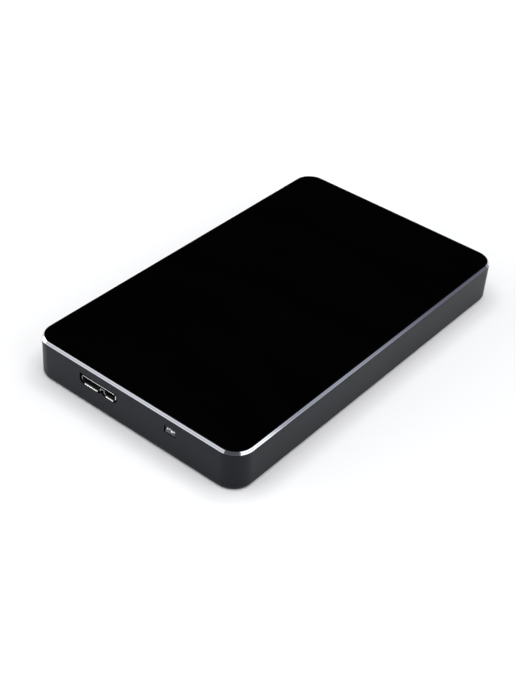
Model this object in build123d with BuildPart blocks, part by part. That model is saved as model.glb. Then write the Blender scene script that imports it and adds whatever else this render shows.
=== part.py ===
from build123d import *

import os
from math import acos, cos, degrees, radians, sin, sqrt

# Portable hard drive in millimetres. X is the width, Y the length with the port end at -Y, Z is up,
# and the origin lies on the table under the middle of the case.
# The drive inside is worked out from its platters and arms, and the case from the drive.

# Case: a metal frame with a bright-cut upper edge, a dark panel on top and a plastic cover below
wall = 1.5
corner_radius = 6.35
edge_across = 0.62
edge_down = 0.8
edge_land = 0.12
ledge_width = 1.2
ledge_thickness = 1.0
panel_thickness = 1.2
panel_gap = 0.08
tape_thickness = 0.15
tape_margin = 0.25
cover_lip = 0.6
cover_plug = 0.6
lip_inset = 0.3
plug_clearance = 0.15
foot_radius = 4.0
foot_proud = 0.4
foot_recess = 0.5
foot_clearance = 0.1
hook_width = 9.0
hook_spacing = 40.0
hook_rise = 1.4
hook_reach = 0.75
hook_thickness = 0.9
hook_clearance = 0.15

# Screws that hold the cover to two corner bosses of the frame
boss_inset = 4.0
boss_radius = 2.6
pad_height = 1.5
case_screw_radius = 1.0
case_screw_length = 5.0
case_head_radius = 1.9
case_head_height = 0.8
screw_clearance = 0.08
recess_width = 1.5
recess_slot = 0.35
recess_depth = 0.25

# Soft parts that hold the drive in the case
side_gap = 2.075
rear_clearance = 0.3
lower_pad = 0.5
upper_pad = 0.6
pad_strip_width = 5.0
soft_clearance = 0.1
rail_end = 9.0
rail_groove_radius = 0.9
rail_groove_count = 7
strip_length = 56.0
upper_pad_width = 46.0
upper_pad_length = 58.0

# Bridge board behind the port end, with the data port and the status light
bay_length = 24.35
post_height = 4.25
post_radius = 2.0
post_inset = 3.2
board_thickness = 1.0
board_clearance = 0.4
board_screw_radius = 0.8
board_screw_length = 4.0
board_head_radius = 1.5
board_head_height = 0.6
port_x = -12.3
port_width = 12.7
port_height = 2.1
port_main_width = 6.9
port_side_width = 4.1
port_web_height = 1.4
port_main_cut = 0.95
port_side_cut = 0.55
port_cut_rise = 0.7
port_shell = 0.3
port_depth = 6.5
port_reach = 4.6
port_recess = 0.3
port_clearance = 0.6
lip_reach = 0.25
lip_flare = 0.2
lip_end = 0.3
tongue_thickness = 0.6
tongue_margin = 0.85
tongue_setback = 0.7
tongue_lift = 0.15
contact_setback = 1.3
contact_width = 0.4
contact_height = 0.12
contact_pitch = 0.65
contact_count = 5
light_x = 14.75
window_width = 4.15
window_height = 2.45
window_radius = 0.25
window_rise = 0.75
light_clearance = 0.12
light_recess = 0.4
guide_gap = 0.3
guide_depth = 2.3
guide_shoulder = 0.6
lamp_width = 3.0
lamp_depth = 1.1
lamp_height = 1.5
bridge_chip_size = 7.0
bridge_chip_height = 0.85
memory_length = 5.0
memory_width = 4.0
memory_height = 1.4
crystal_length = 3.2
crystal_width = 2.5
crystal_height = 0.8
coil_case_size = 4.0
coil_case_height = 1.6
coil_case_corner = 1.0
bridge_row = 11.0
bridge_pitch = 9.5
capacitor_length = 1.0
capacitor_width = 0.5
capacitor_height = 0.5
capacitor_count = 9
capacitor_pitch = 2.8
capacitor_gap = 1.2

# Edge connector between the bridge board and the drive
shelf_gap = 1.5
plug_width = 37.0
plug_depth = 7.5
plug_height = 4.2
plug_wall = 0.7
plug_back = 2.0
plug_gap = 0.3
blade_thickness = 1.2
signal_width = 10.4
power_width = 20.6
blade_gap = 2.2
blade_reach = 4.2
signal_pads = 7
power_pads = 15
plug_pad_pitch = 1.27
plug_pad_width = 0.8
plug_pad_length = 3.4
plug_pad_thickness = 0.1
mate_clearance = 0.25
socket_body = 5.0
socket_ledge = 2.0
socket_shoulder = 1.0
socket_cap = 1.2

# Hard drive: casting, cover and controller board
drive_width = 69.85
drive_wall = 1.6
drive_corner = 2.5
board_sink = 0.6
drive_board_thickness = 0.8
chip_room = 1.0
web = 0.8
gasket_thickness = 0.2
gasket_inset = 0.25
gasket_width = 0.8
drive_cover_thickness = 0.65
cover_inset = 0.2
cover_dish = 0.2
cover_screw_inset = 3.3
cover_screw_radius = 0.75
cover_screw_length = 3.6
cover_head_radius = 1.5
cover_head_height = 0.4
screw_post_radius = 2.6
mid_screw_angle = 28.0
bay_gap_angle = 25.0
mount_hole_radius = 1.25
mount_hole_depth = 2.0
mount_front = 14.0
mount_pitch = 76.6
mount_edge = 4.065
underside_ring = 14.0
underside_rim = 5.0
underside_depth = 1.9
drive_board_side = 9.925
drive_board_length = 44.0
drive_board_gap = 0.4
drive_post_radius = 1.7
drive_post_inset = 2.6
drive_post_row = 12.0
drive_screw_radius = 0.6
drive_screw_bite = 1.3
drive_head_radius = 1.3
drive_head_height = 0.4
controller_size = 10.0
driver_size = 7.0
cache_length = 11.0
cache_width = 8.0
chip_height = 0.85
chip_gap = 3.0

# Spindle: motor, platters and clamp
platter_clearance = 0.825
platter_thickness = 0.7
platter_hole = 10.0
hub_fit = 0.05
hub_flange = 2.0
hub_floor_gap = 0.4
hub_wall = 1.15
hub_roof = 1.05
magnet_ring = 0.9
magnet_ring_height = 2.0
air_gap = 0.3
stator_height = 2.2
stator_yoke = 1.2
tooth_count = 9
tooth_width = 1.1
tooth_tip_angle = 27.0
tooth_tip = 0.8
sleeve_wall = 1.9
sleeve_foot = 0.8
shaft_radius = 1.5
shaft_run = 0.05
shaft_end_gap = 0.4
clamp_overlap = 1.5
clamp_preload = 0.1
clamp_bore_gap = 0.2
clamp_thickness = 0.6
clamp_screw_radius = 0.9
clamp_screw_length = 3.2
clamp_head_radius = 2.2
clamp_head_height = 0.5

# Actuator: arms, heads and the motor that swings them
pivot_distance = 42.0
arm_short = 6.0
park_gap = 2.0
inner_track = 14.5
arm_floor_gap = 0.25
outer_arm = 0.4
middle_arm = 0.7
suspension_thickness = 0.1
slider_thickness = 0.25
fly_gap = 0.15
arm_cover_gap = 0.5
arm_root_radius = 5.6
arm_tip_radius = 2.0
arm_reach = 24.0
arm_window_radius = 1.5
first_arm_window = 12.0
next_arm_window = 16.8
suspension_root = 3.6
suspension_tip = 1.4
suspension_overlap = 3.0
slider_length = 1.2
slider_width = 0.9
tab_length = 1.6
tab_width = 0.6
bearing_radius = 3.4
bearing_bore = 1.55
bearing_lift = 0.3
pivot_radius = 1.5
pivot_flange = 2.4
pivot_head_gap = 0.3
yoke_outer = 22.1
yoke_inner = 8.6
yoke_clearance = 0.825
yoke_thickness = 0.8
yoke_margin_angle = 5.0
leg_radius = 1.1
leg_edge = 0.3
leg_clearance = 0.5
coil_thickness = 1.6
coil_gap = 0.3
coil_half_angle = 19.0
coil_inner = 8.4
coil_band = 2.6
coil_corner = 1.4
fork_angle = 6.0
fork_short = 4.0
fork_fit = 0.05
fork_fit_angle = 0.1
ramp_start_angle = -6.0
ramp_end_angle = 2.0
ramp_back = 2.0
ramp_slot_gap = 0.25
ramp_entry = 0.5
ramp_top_gap = 0.4
filter_length = 9.0
filter_width = 3.0
filter_height = 4.0
filter_y = 20.0
filter_gap = 0.3

# Heights in the drive, from its underside
drive_board_top = board_sink + drive_board_thickness
web_bottom = drive_board_top + chip_room
floor_top = web_bottom + web
low_arm_z = floor_top + arm_floor_gap
low_platter_z = low_arm_z + outer_arm + suspension_thickness + slider_thickness + fly_gap
spacer_height = middle_arm + 2 * (suspension_thickness + slider_thickness + fly_gap)
high_platter_z = low_platter_z + platter_thickness + spacer_height
stack_top = high_platter_z + platter_thickness
middle_arm_z = low_platter_z + platter_thickness + fly_gap + slider_thickness + suspension_thickness
high_arm_z = stack_top + fly_gap + slider_thickness + suspension_thickness
drive_cover_z = high_arm_z + outer_arm + arm_cover_gap
rim_top = drive_cover_z - gasket_thickness
drive_height = drive_cover_z + drive_cover_thickness

# Plan of the drive
platter_radius = drive_width / 2 - drive_wall - platter_clearance
well_radius = platter_radius + platter_clearance
pivot_x = yoke_outer + yoke_clearance + drive_wall - drive_width / 2
pivot_rise = yoke_outer + yoke_clearance + drive_wall
spindle_rise = pivot_rise + sqrt(pivot_distance**2 - pivot_x**2)
drive_length = spindle_rise + drive_width / 2
arm_length = pivot_distance - arm_short
drive_board_width = drive_width - 2 * drive_board_side
mount_spread = drive_width - 2 * mount_edge

# Outer size and heights of the case, from the table
rear_gap = ledge_width + rear_clearance
case_width = drive_width + 2 * (side_gap + wall)
case_length = bay_length + drive_length + rear_gap + 2 * wall
cover_bottom = foot_proud
frame_bottom = cover_bottom + cover_lip
cover_top = frame_bottom + cover_plug
drive_bottom = cover_top + lower_pad
drive_top = drive_bottom + drive_height
panel_bottom = drive_top + upper_pad
case_top = panel_bottom + panel_thickness
ledge_top = panel_bottom - tape_thickness
ledge_bottom = ledge_top - ledge_thickness
panel_inset = edge_across + edge_land
front = -case_length / 2
front_inner = front + wall
back_inner = case_length / 2 - wall
drive_front = front_inner + bay_length
drive_back = drive_front + drive_length
drive_middle = (drive_front + drive_back) / 2
spindle_y = drive_front + spindle_rise
pivot_y = drive_front + pivot_rise
pivot = (pivot_x, pivot_y)
spindle = (0, spindle_y)

# Board, port and light
board_bottom = cover_top + post_height
board_top = board_bottom + board_thickness
boss_x = case_width / 2 - wall - boss_inset
boss_y = front_inner + boss_inset
foot_y = -boss_y
board_width = 2 * (boss_x - boss_radius - board_clearance)
board_front = front_inner + board_clearance
socket_back = drive_front - socket_body
board_length = socket_back - board_front
port_z = board_top + port_shell + port_height / 2
port_mouth = front + port_recess
window_z = board_top + window_rise + window_height / 2
blade_z = drive_bottom + drive_board_top + plug_height / 2
pad_top = cover_top + pad_height
post_x = board_width / 2 - post_inset
post_y = board_front + post_inset


# Angle at the pivot, between the spindle and the heads, for heads at a given radius of the platter
def head_angle(track):
    squares = pivot_distance**2 + arm_length**2 - track**2
    return degrees(acos(squares / (2 * pivot_distance * arm_length)))


spindle_angle = degrees(acos(-pivot_x / pivot_distance))
park_angle = spindle_angle - head_angle(platter_radius + park_gap)
swing = head_angle(platter_radius + park_gap) - head_angle(inner_track)
coil_angle = park_angle + 180
yoke_start = coil_angle - coil_half_angle - yoke_margin_angle
yoke_end = coil_angle + swing + coil_half_angle + yoke_margin_angle
leg_track = yoke_outer - leg_edge - leg_radius
coil_outer = leg_track - leg_radius - leg_clearance
coil_z = middle_arm_z + (middle_arm - coil_thickness) / 2
magnet_thickness = coil_z - coil_gap - floor_top - yoke_thickness
upper_magnet_z = coil_z + coil_thickness + coil_gap

# Shelf over the edge connector, beside the end of the coil motor's plates
shelf_back = drive_front + plug_depth + drive_wall
yoke_edge_x = (shelf_back - pivot_y) * cos(radians(yoke_end)) / sin(radians(yoke_end))
yoke_corner_x = yoke_outer * cos(radians(yoke_end))
shelf_left = pivot_x + max(yoke_edge_x, yoke_corner_x) + shelf_gap
plug_x = shelf_left + drive_wall + plug_width / 2


# Point at a distance and an angle from the pivot
def from_pivot(distance, angle):
    x = pivot_x + distance * cos(radians(angle))
    y = pivot_y + distance * sin(radians(angle))
    return (x, y)


# Outline of the case, drawn in the open sketch and pulled in by an inset
def case_outline(inset, mode=Mode.ADD):
    RectangleRounded(case_width - 2 * inset, case_length - 2 * inset, corner_radius - inset, mode=mode)


# Outline of the drive, drawn in the open sketch and pulled in by an inset
def drive_outline(inset):
    with Locations((0, drive_middle)):
        RectangleRounded(drive_width - 2 * inset, drive_length - 2 * inset, drive_corner - inset)


# Ring sector about the pivot
def pivot_sector(inner, outer, start, end, mode=Mode.ADD):
    with BuildLine() as sector:
        far = CenterArc(pivot, outer, start, end - start)
        near = CenterArc(pivot, inner, start, end - start)
        Line(far @ 0, near @ 0)
        Line(far @ 1, near @ 1)
    make_face(sector.edges(), mode=mode)


# Clean room of the drive: the round well of the platters, the bay of the actuator and its square
# corners, less the posts of the cover screws and the shelf over the edge connector
def clean_room(grow):
    bay_half = drive_width / 2 - drive_wall
    bay_front = drive_front + drive_wall
    bay_back = spindle_y - well_radius * cos(radians(mid_screw_angle + bay_gap_angle))
    with Locations(spindle):
        Circle(well_radius + grow)
    with Locations((0, (bay_front + bay_back) / 2)):
        Rectangle(2 * (bay_half + grow), bay_back - bay_front + 2 * grow)
    shelf_x = (shelf_left + bay_half) / 2 + drive_wall
    shelf_y = (bay_front + shelf_back) / 2 - drive_wall
    with Locations((shelf_x, shelf_y)):
        Rectangle(
            bay_half - shelf_left + 2 * drive_wall - 2 * grow,
            shelf_back - bay_front + 2 * drive_wall - 2 * grow,
            mode=Mode.SUBTRACT,
        )
    with Locations((cover_screw_inset - drive_width / 2, drive_front + cover_screw_inset)):
        Circle(screw_post_radius - grow, mode=Mode.SUBTRACT)


# Outline of the data port's opening: a long upper side, cut lower corners and the web that keys the plug
def port_outline(grow):
    left = port_x - port_width / 2
    right = port_x + port_width / 2
    low = port_z - port_height / 2
    high = port_z + port_height / 2
    cut_top = low + port_cut_rise
    web_left = left + port_main_width
    web_right = right - port_side_width
    web_top = low + port_web_height
    with BuildLine() as opening:
        Polyline(
            (left, high),
            (right, high),
            (right, cut_top),
            (right - port_side_cut, low),
            (web_right + port_side_cut, low),
            (web_right, cut_top),
            (web_right, web_top),
            (web_left, web_top),
            (web_left, cut_top),
            (web_left - port_main_cut, low),
            (left + port_main_cut, low),
            (left, cut_top),
            close=True,
        )
    make_face(opening.edges())
    if grow:
        offset(amount=grow)


# Places of the six screws in the drive's cover
def cover_screw_places():
    side = drive_width / 2 - cover_screw_inset
    mid_track = well_radius + cover_screw_inset - platter_clearance
    mid_x = mid_track * cos(radians(mid_screw_angle))
    mid_y = spindle_y - mid_track * sin(radians(mid_screw_angle))
    ends = (drive_front + cover_screw_inset, drive_back - cover_screw_inset)
    corners = [(x, y) for x in (-side, side) for y in ends]
    return corners + [(-mid_x, mid_y), (mid_x, mid_y)]


# Point along the parked arm and across it
def arm_point(along, across):
    x = pivot_x + along * cos(radians(park_angle)) - across * sin(radians(park_angle))
    y = pivot_y + along * sin(radians(park_angle)) + across * cos(radians(park_angle))
    return (x, y)


# Small screw with a cross recess: its head ends at the seat, and its shank points up (1) or down (-1)
def small_screw(seat, point, head_radius, head_height, radius, length):
    beyond_seat = Align.MIN if point > 0 else Align.MAX
    before_seat = Align.MAX if point > 0 else Align.MIN
    with Locations((0, 0, seat)):
        Cylinder(head_radius, head_height, align=(Align.CENTER, Align.CENTER, before_seat))
        Cylinder(radius, length, align=(Align.CENTER, Align.CENTER, beyond_seat))
    with Locations((0, 0, seat - point * head_height)):
        slot = (Align.CENTER, Align.CENTER, beyond_seat)
        Box(recess_width, recess_slot, recess_depth, align=slot, mode=Mode.SUBTRACT)
        Box(recess_slot, recess_width, recess_depth, align=slot, mode=Mode.SUBTRACT)


# Metal frame: wall, inner ledge that carries the panel, corner bosses, port opening and light window
with BuildPart() as case_frame:
    with BuildSketch(Plane.XY.offset(frame_bottom)):
        case_outline(0)
    extrude(amount=case_top - frame_bottom)
    upper_face = case_frame.faces().sort_by(Axis.Z)[-1]
    chamfer(upper_face.edges(), length=edge_across, length2=edge_down, reference=upper_face)
    with BuildSketch(Plane.XY.offset(frame_bottom)):
        case_outline(wall)
    extrude(amount=ledge_bottom - frame_bottom, mode=Mode.SUBTRACT)
    with BuildSketch(Plane.XY.offset(ledge_bottom)):
        case_outline(wall + ledge_width)
    extrude(amount=ledge_thickness, mode=Mode.SUBTRACT)
    with BuildSketch(Plane.XY.offset(ledge_top)):
        case_outline(panel_inset)
    extrude(amount=case_top - ledge_top, mode=Mode.SUBTRACT)
    with BuildSketch(Plane.XY.offset(pad_top)):
        with Locations((-boss_x, boss_y), (boss_x, boss_y)):
            Circle(boss_radius)
        for side in (-1, 1):
            with Locations((side * (boss_x + boss_inset / 2), boss_y - boss_inset / 2)):
                Rectangle(boss_inset, boss_inset)
        case_outline(wall, mode=Mode.INTERSECT)
    extrude(amount=ledge_bottom - pad_top)
    with BuildSketch(Plane.XY.offset(pad_top)):
        with Locations((-boss_x, boss_y), (boss_x, boss_y)):
            Circle(case_screw_radius + screw_clearance)
    extrude(amount=case_screw_length, mode=Mode.SUBTRACT)
    with BuildSketch(Plane.XZ.offset(-front)):
        port_outline(port_shell + port_clearance)
    extrude(amount=-wall, mode=Mode.SUBTRACT)
    with BuildSketch(Plane.XZ.offset(-front)):
        with Locations((light_x, window_z)):
            RectangleRounded(window_width, window_height, window_radius)
    extrude(amount=-wall, mode=Mode.SUBTRACT)
    with Locations(
        (-hook_spacing / 2, back_inner, cover_top + hook_rise / 2),
        (hook_spacing / 2, back_inner, cover_top + hook_rise / 2),
    ):
        Box(
            hook_width + 2 * hook_clearance,
            2 * hook_reach,
            hook_rise + 2 * hook_clearance,
            mode=Mode.SUBTRACT,
        )

# Dark top panel, flush with the frame
with BuildPart() as top_panel:
    with BuildSketch(Plane.XY.offset(panel_bottom)):
        case_outline(panel_inset + panel_gap)
    extrude(amount=panel_thickness)
    chamfer(top_panel.faces().sort_by(Axis.Z)[-1].edges(), length=panel_gap)

# Ring of adhesive tape between the ledge and the panel
with BuildPart() as panel_tape:
    with BuildSketch(Plane.XY.offset(ledge_top)):
        case_outline(panel_inset + panel_gap + tape_margin)
        case_outline(wall + ledge_width - tape_margin, mode=Mode.SUBTRACT)
    extrude(amount=tape_thickness)

# Plastic cover: a lip under the frame, a plug inside it, screw pads, board posts and rear hooks
with BuildPart() as bottom_cover:
    with BuildSketch(Plane.XY.offset(cover_bottom)):
        case_outline(lip_inset)
    extrude(amount=cover_lip)
    with BuildSketch(Plane.XY.offset(frame_bottom)):
        case_outline(wall + plug_clearance)
    extrude(amount=cover_plug)
    with BuildSketch(Plane.XY.offset(cover_top)):
        with Locations((-boss_x, boss_y), (boss_x, boss_y)):
            Circle(boss_radius)
    extrude(amount=pad_height)
    with BuildSketch(Plane.XY.offset(cover_top)):
        with Locations((-post_x, post_y), (post_x, post_y)):
            Circle(post_radius)
    extrude(amount=post_height)
    with BuildSketch(Plane.XY.offset(board_bottom)):
        with Locations((-post_x, post_y), (post_x, post_y)):
            Circle(board_screw_radius + screw_clearance)
    extrude(amount=-board_screw_length, mode=Mode.SUBTRACT)
    with Locations(
        (-hook_spacing / 2, back_inner, cover_top),
        (hook_spacing / 2, back_inner, cover_top),
    ):
        with Locations((0, -plug_clearance, -cover_plug)):
            Box(
                hook_width,
                hook_thickness,
                cover_plug + hook_rise,
                align=(Align.CENTER, Align.MAX, Align.MIN),
            )
        with Locations((0, -plug_clearance, hook_clearance)):
            Box(
                hook_width,
                hook_reach,
                hook_rise - hook_clearance,
                align=(Align.CENTER, Align.MIN, Align.MIN),
            )
    with BuildSketch(Plane.XY.offset(cover_bottom)):
        with GridLocations(2 * boss_x, 2 * foot_y, 2, 2):
            Circle(foot_radius + foot_clearance)
    extrude(amount=foot_recess, mode=Mode.SUBTRACT)
    with BuildSketch(Plane.XY.offset(cover_bottom)):
        with Locations((-boss_x, boss_y), (boss_x, boss_y)):
            Circle(case_head_radius + foot_clearance)
    extrude(amount=foot_recess + case_head_height, mode=Mode.SUBTRACT)
    with BuildSketch(Plane.XY.offset(cover_bottom)):
        with Locations((-boss_x, boss_y), (boss_x, boss_y)):
            Circle(case_screw_radius + screw_clearance)
    extrude(amount=pad_top - cover_bottom, mode=Mode.SUBTRACT)

# Four rubber feet, stuck in round recesses; the two at the port end hide the case screws
with BuildPart() as rubber_feet:
    with BuildSketch():
        with GridLocations(2 * boss_x, 2 * foot_y, 2, 2):
            Circle(foot_radius)
    extrude(amount=foot_proud + foot_recess)
    chamfer(rubber_feet.faces().group_by(Axis.Z)[0].edges(), length=foot_proud / 2)

# Two screws that hold the cover to the frame
with BuildPart() as case_screws:
    with Locations((-boss_x, boss_y), (boss_x, boss_y)):
        small_screw(
            cover_bottom + foot_recess + case_head_height,
            1,
            case_head_radius,
            case_head_height,
            case_screw_radius,
            case_screw_length,
        )

# Rubber rail beside the drive, with upright grooves that let it give
rail_thickness = side_gap - 2 * soft_clearance
rail_length = drive_length - 2 * rail_end
rail_height = ledge_bottom - soft_clearance - cover_top
rail_outer = drive_width / 2 + side_gap - soft_clearance
with BuildPart() as right_rail:
    with BuildSketch(Plane.XY.offset(cover_top)):
        with Locations((rail_outer - rail_thickness / 2, drive_middle)):
            Rectangle(rail_thickness, rail_length)
        with Locations((rail_outer, drive_middle)):
            with GridLocations(1, rail_length / rail_groove_count, 1, rail_groove_count):
                Circle(rail_groove_radius, mode=Mode.SUBTRACT)
    extrude(amount=rail_height)

with BuildPart() as left_rail:
    mirror(right_rail.part, about=Plane.YZ)

# Rubber strip behind the drive, above the hooks of the cover
strip_bottom = cover_top + hook_rise + 2 * soft_clearance
with BuildPart() as rear_strip:
    with BuildSketch(Plane.XY.offset(strip_bottom)):
        with Locations((0, drive_back + rear_gap / 2)):
            SlotOverall(strip_length, rear_gap - 2 * soft_clearance)
    extrude(amount=ledge_bottom - soft_clearance - strip_bottom)

# Foam between the drive and the panel
with BuildPart() as upper_foam:
    with BuildSketch(Plane.XY.offset(drive_top)):
        with Locations((0, drive_middle)):
            RectangleRounded(upper_pad_width, upper_pad_length, drive_corner)
    extrude(amount=upper_pad)

# Two foam strips under the side rails of the drive
with BuildPart() as lower_foam:
    strip_x = drive_width / 2 - drive_corner - pad_strip_width / 2
    with BuildSketch(Plane.XY.offset(cover_top)):
        with Locations((-strip_x, drive_middle), (strip_x, drive_middle)):
            Rectangle(pad_strip_width, rail_length)
    extrude(amount=lower_pad)

# Bridge board between the data port and the drive
with BuildPart() as bridge_board:
    with BuildSketch(Plane.XY.offset(board_bottom)):
        with Locations((0, board_front + board_length / 2)):
            Rectangle(board_width, board_length)
        with Locations((-post_x, post_y), (post_x, post_y)):
            Circle(board_screw_radius + 2 * screw_clearance, mode=Mode.SUBTRACT)
    extrude(amount=board_thickness)
    rear_corners = bridge_board.edges().filter_by(Axis.Z).sort_by(Axis.Y)[-2:]
    fillet(rear_corners, board_clearance)

# Two screws that hold the board to the posts of the cover
with BuildPart() as board_screws:
    with Locations((-post_x, post_y), (post_x, post_y)):
        small_screw(
            board_top,
            -1,
            board_head_radius,
            board_head_height,
            board_screw_radius,
            board_screw_length,
        )

# Folded steel shell of the data port, with lips that flare up or down from the flats of its mouth
main_left = port_x - port_width / 2
side_right = port_x + port_width / 2
lip_tip = port_mouth - lip_reach
with BuildPart() as data_port_shell:
    with BuildSketch(Plane.XZ.offset(-port_mouth)):
        port_outline(port_shell)
    extrude(amount=-port_depth)
    with BuildSketch(Plane.XZ.offset(-port_mouth)):
        port_outline(0)
    extrude(amount=-port_depth, mode=Mode.SUBTRACT)
    for lip_left, lip_right, side in (
        (main_left + lip_end, side_right - lip_end, 1),
        (main_left + port_main_cut, main_left + port_main_width - port_main_cut, -1),
        (side_right - port_side_width + port_side_cut, side_right - port_side_cut, -1),
    ):
        root = port_z + side * port_height / 2
        with BuildSketch(Plane.YZ.offset(lip_left)):
            with BuildLine():
                Polyline(
                    (port_mouth, root),
                    (port_mouth, root + side * port_shell),
                    (lip_tip, root + side * (port_shell + lip_flare)),
                    (lip_tip, root + side * lip_flare),
                    close=True,
                )
            make_face()
        extrude(amount=lip_right - lip_left)

# Moulded insert of the data port: a back block and one tongue for each part of the opening
main_middle = main_left + port_main_width / 2
side_middle = side_right - port_side_width / 2
tongue_z = port_z + tongue_lift
with BuildPart() as data_port_insert:
    with BuildSketch(Plane.XZ.offset(-port_mouth - port_reach)):
        port_outline(0)
    extrude(amount=port_reach - port_depth)
    with BuildSketch(Plane.XZ.offset(-port_mouth - tongue_setback)):
        with Locations((main_middle, tongue_z)):
            Rectangle(port_main_width - 2 * tongue_margin, tongue_thickness)
        with Locations((side_middle, tongue_z)):
            Rectangle(port_side_width - tongue_margin, tongue_thickness)
    extrude(amount=tongue_setback - port_reach)

# Spring contacts under the two tongues
with BuildPart() as data_port_contacts:
    with BuildSketch(Plane.XZ.offset(-port_mouth - contact_setback)):
        with Locations((main_middle, tongue_z), (side_middle, tongue_z)):
            with GridLocations(contact_pitch, 1, contact_count, 1):
                with Locations((0, -(tongue_thickness + contact_height) / 2)):
                    Rectangle(contact_width, contact_height)
    extrude(amount=contact_setback - port_reach)

# Clear light guide: a nose in the window and a block that stands on the board
with BuildPart() as light_guide:
    with BuildSketch(Plane.XZ.offset(-front - light_recess)):
        with Locations((light_x, window_z)):
            RectangleRounded(
                window_width - 2 * light_clearance,
                window_height - 2 * light_clearance,
                window_radius - light_clearance,
            )
    extrude(amount=light_recess - wall - guide_gap)
    guide_top = window_z + window_height / 2 + guide_shoulder
    with BuildSketch(Plane.XZ.offset(-front_inner - guide_gap)):
        with Locations((light_x, (board_top + guide_top) / 2)):
            Rectangle(window_width + 2 * guide_shoulder, guide_top - board_top)
    extrude(amount=-guide_depth)


# Part with a flat body that lies on the bridge board, in the row behind the port
def on_bridge_row(place):
    return (place * bridge_pitch, board_front + bridge_row, board_top)


standing = (Align.CENTER, Align.CENTER, Align.MIN)

with BuildPart() as status_lamp:
    lamp_y = front_inner + guide_gap + guide_depth + guide_gap + lamp_depth / 2
    with Locations((light_x, lamp_y, board_top)):
        Box(lamp_width, lamp_depth, lamp_height, align=standing)

with BuildPart() as bridge_chip:
    with Locations(on_bridge_row(-1)):
        Box(bridge_chip_size, bridge_chip_size, bridge_chip_height, align=standing)

with BuildPart() as memory_chip:
    with Locations(on_bridge_row(0)):
        Box(memory_width, memory_length, memory_height, align=standing)

with BuildPart() as crystal:
    with Locations(on_bridge_row(-2)):
        Box(crystal_length, crystal_width, crystal_height, align=standing)

with BuildPart() as power_coil:
    with Locations(on_bridge_row(1)):
        Box(coil_case_size, coil_case_size, coil_case_height, align=standing)
    fillet(power_coil.edges().filter_by(Axis.Z), coil_case_corner)

# Row of small capacitors behind the data port
with BuildPart() as capacitors:
    capacitor_y = port_mouth + port_depth + capacitor_gap
    with Locations((0, capacitor_y, board_top)):
        with GridLocations(capacitor_pitch, 1, capacitor_count, 1):
            Box(capacitor_width, capacitor_length, capacitor_height, align=standing)

# Edge connector of the drive: a hood with two flat blades, standing on the controller board
plug_inner = plug_depth - plug_back
blades_left = plug_x - (signal_width + blade_gap + power_width) / 2
signal_x = blades_left + signal_width / 2
power_x = blades_left + signal_width + blade_gap + power_width / 2
with BuildPart() as drive_plug:
    with BuildSketch(Plane.XZ.offset(-drive_front)):
        with Locations((plug_x, blade_z)):
            Rectangle(plug_width, plug_height)
    extrude(amount=-plug_depth)
    with BuildSketch(Plane.XZ.offset(-drive_front)):
        with Locations((plug_x, blade_z)):
            Rectangle(plug_width - 2 * plug_wall, plug_height - 2 * plug_wall)
    extrude(amount=-plug_inner, mode=Mode.SUBTRACT)
    with BuildSketch(Plane.XZ.offset(-drive_front - plug_inner)):
        with Locations((signal_x, blade_z)):
            Rectangle(signal_width, blade_thickness)
        with Locations((power_x, blade_z)):
            Rectangle(power_width, blade_thickness)
    extrude(amount=blade_reach)

# Gold pads on the upper faces of the two blades
with BuildPart() as plug_contacts:
    plug_pad_y = drive_front + plug_inner - blade_reach / 2
    for middle, count in ((signal_x, signal_pads), (power_x, power_pads)):
        with Locations((middle, plug_pad_y, blade_z + blade_thickness / 2)):
            with GridLocations(plug_pad_pitch, 1, count, 1):
                Box(plug_pad_width, plug_pad_length, plug_pad_thickness, align=standing)

# Mating socket on the bridge board: a body behind the board's edge, a cap on it and a slotted nose
nose_reach = plug_inner - mate_clearance
socket_top = max(board_top + socket_cap, blade_z + plug_height / 2)
socket_bottom = blade_z - plug_height / 2
socket_width = plug_width + 2 * socket_shoulder
with BuildPart() as drive_socket:
    with BuildSketch(Plane.XZ.offset(-socket_back)):
        with Locations((plug_x, (socket_top + socket_bottom) / 2)):
            Rectangle(socket_width, socket_top - socket_bottom)
    extrude(amount=mate_clearance - socket_body)
    with BuildSketch(Plane.XZ.offset(-socket_back)):
        with Locations((plug_x, (board_top + socket_top) / 2)):
            Rectangle(socket_width, socket_top - board_top)
    extrude(amount=socket_ledge)
    with BuildSketch(Plane.XZ.offset(mate_clearance - drive_front)):
        with Locations((plug_x, blade_z)):
            Rectangle(
                plug_width - 2 * plug_wall - 2 * mate_clearance,
                plug_height - 2 * plug_wall - 2 * mate_clearance,
            )
    extrude(amount=-nose_reach - mate_clearance)
    with BuildSketch(Plane.XZ.offset(-drive_front - nose_reach)):
        with Locations((signal_x, blade_z)):
            Rectangle(signal_width + 2 * mate_clearance, blade_thickness + 2 * mate_clearance)
        with Locations((power_x, blade_z)):
            Rectangle(power_width + 2 * mate_clearance, blade_thickness + 2 * mate_clearance)
    extrude(amount=blade_reach, mode=Mode.SUBTRACT)

# Controller board of the drive, sunk into its underside
drive_board_front = drive_front + drive_board_gap
drive_post_x = drive_board_width / 2 - drive_post_inset
drive_post_y = drive_board_front + drive_board_length - drive_post_inset
drive_posts = [
    (-drive_post_x, drive_front + drive_post_row),
    (-drive_post_x, drive_post_y),
    (drive_post_x, drive_post_y),
]
with BuildPart() as drive_board:
    with BuildSketch(Plane.XY.offset(drive_bottom + board_sink)):
        with Locations((0, drive_board_front + drive_board_length / 2)):
            Rectangle(drive_board_width, drive_board_length)
        with Locations(*drive_posts):
            Circle(drive_screw_radius + 2 * screw_clearance, mode=Mode.SUBTRACT)
    extrude(amount=drive_board_thickness)

with BuildPart() as drive_board_screws:
    with Locations(*drive_posts):
        small_screw(
            drive_bottom + board_sink,
            1,
            drive_head_radius,
            drive_head_height,
            drive_screw_radius,
            drive_board_thickness + drive_screw_bite,
        )

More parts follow.
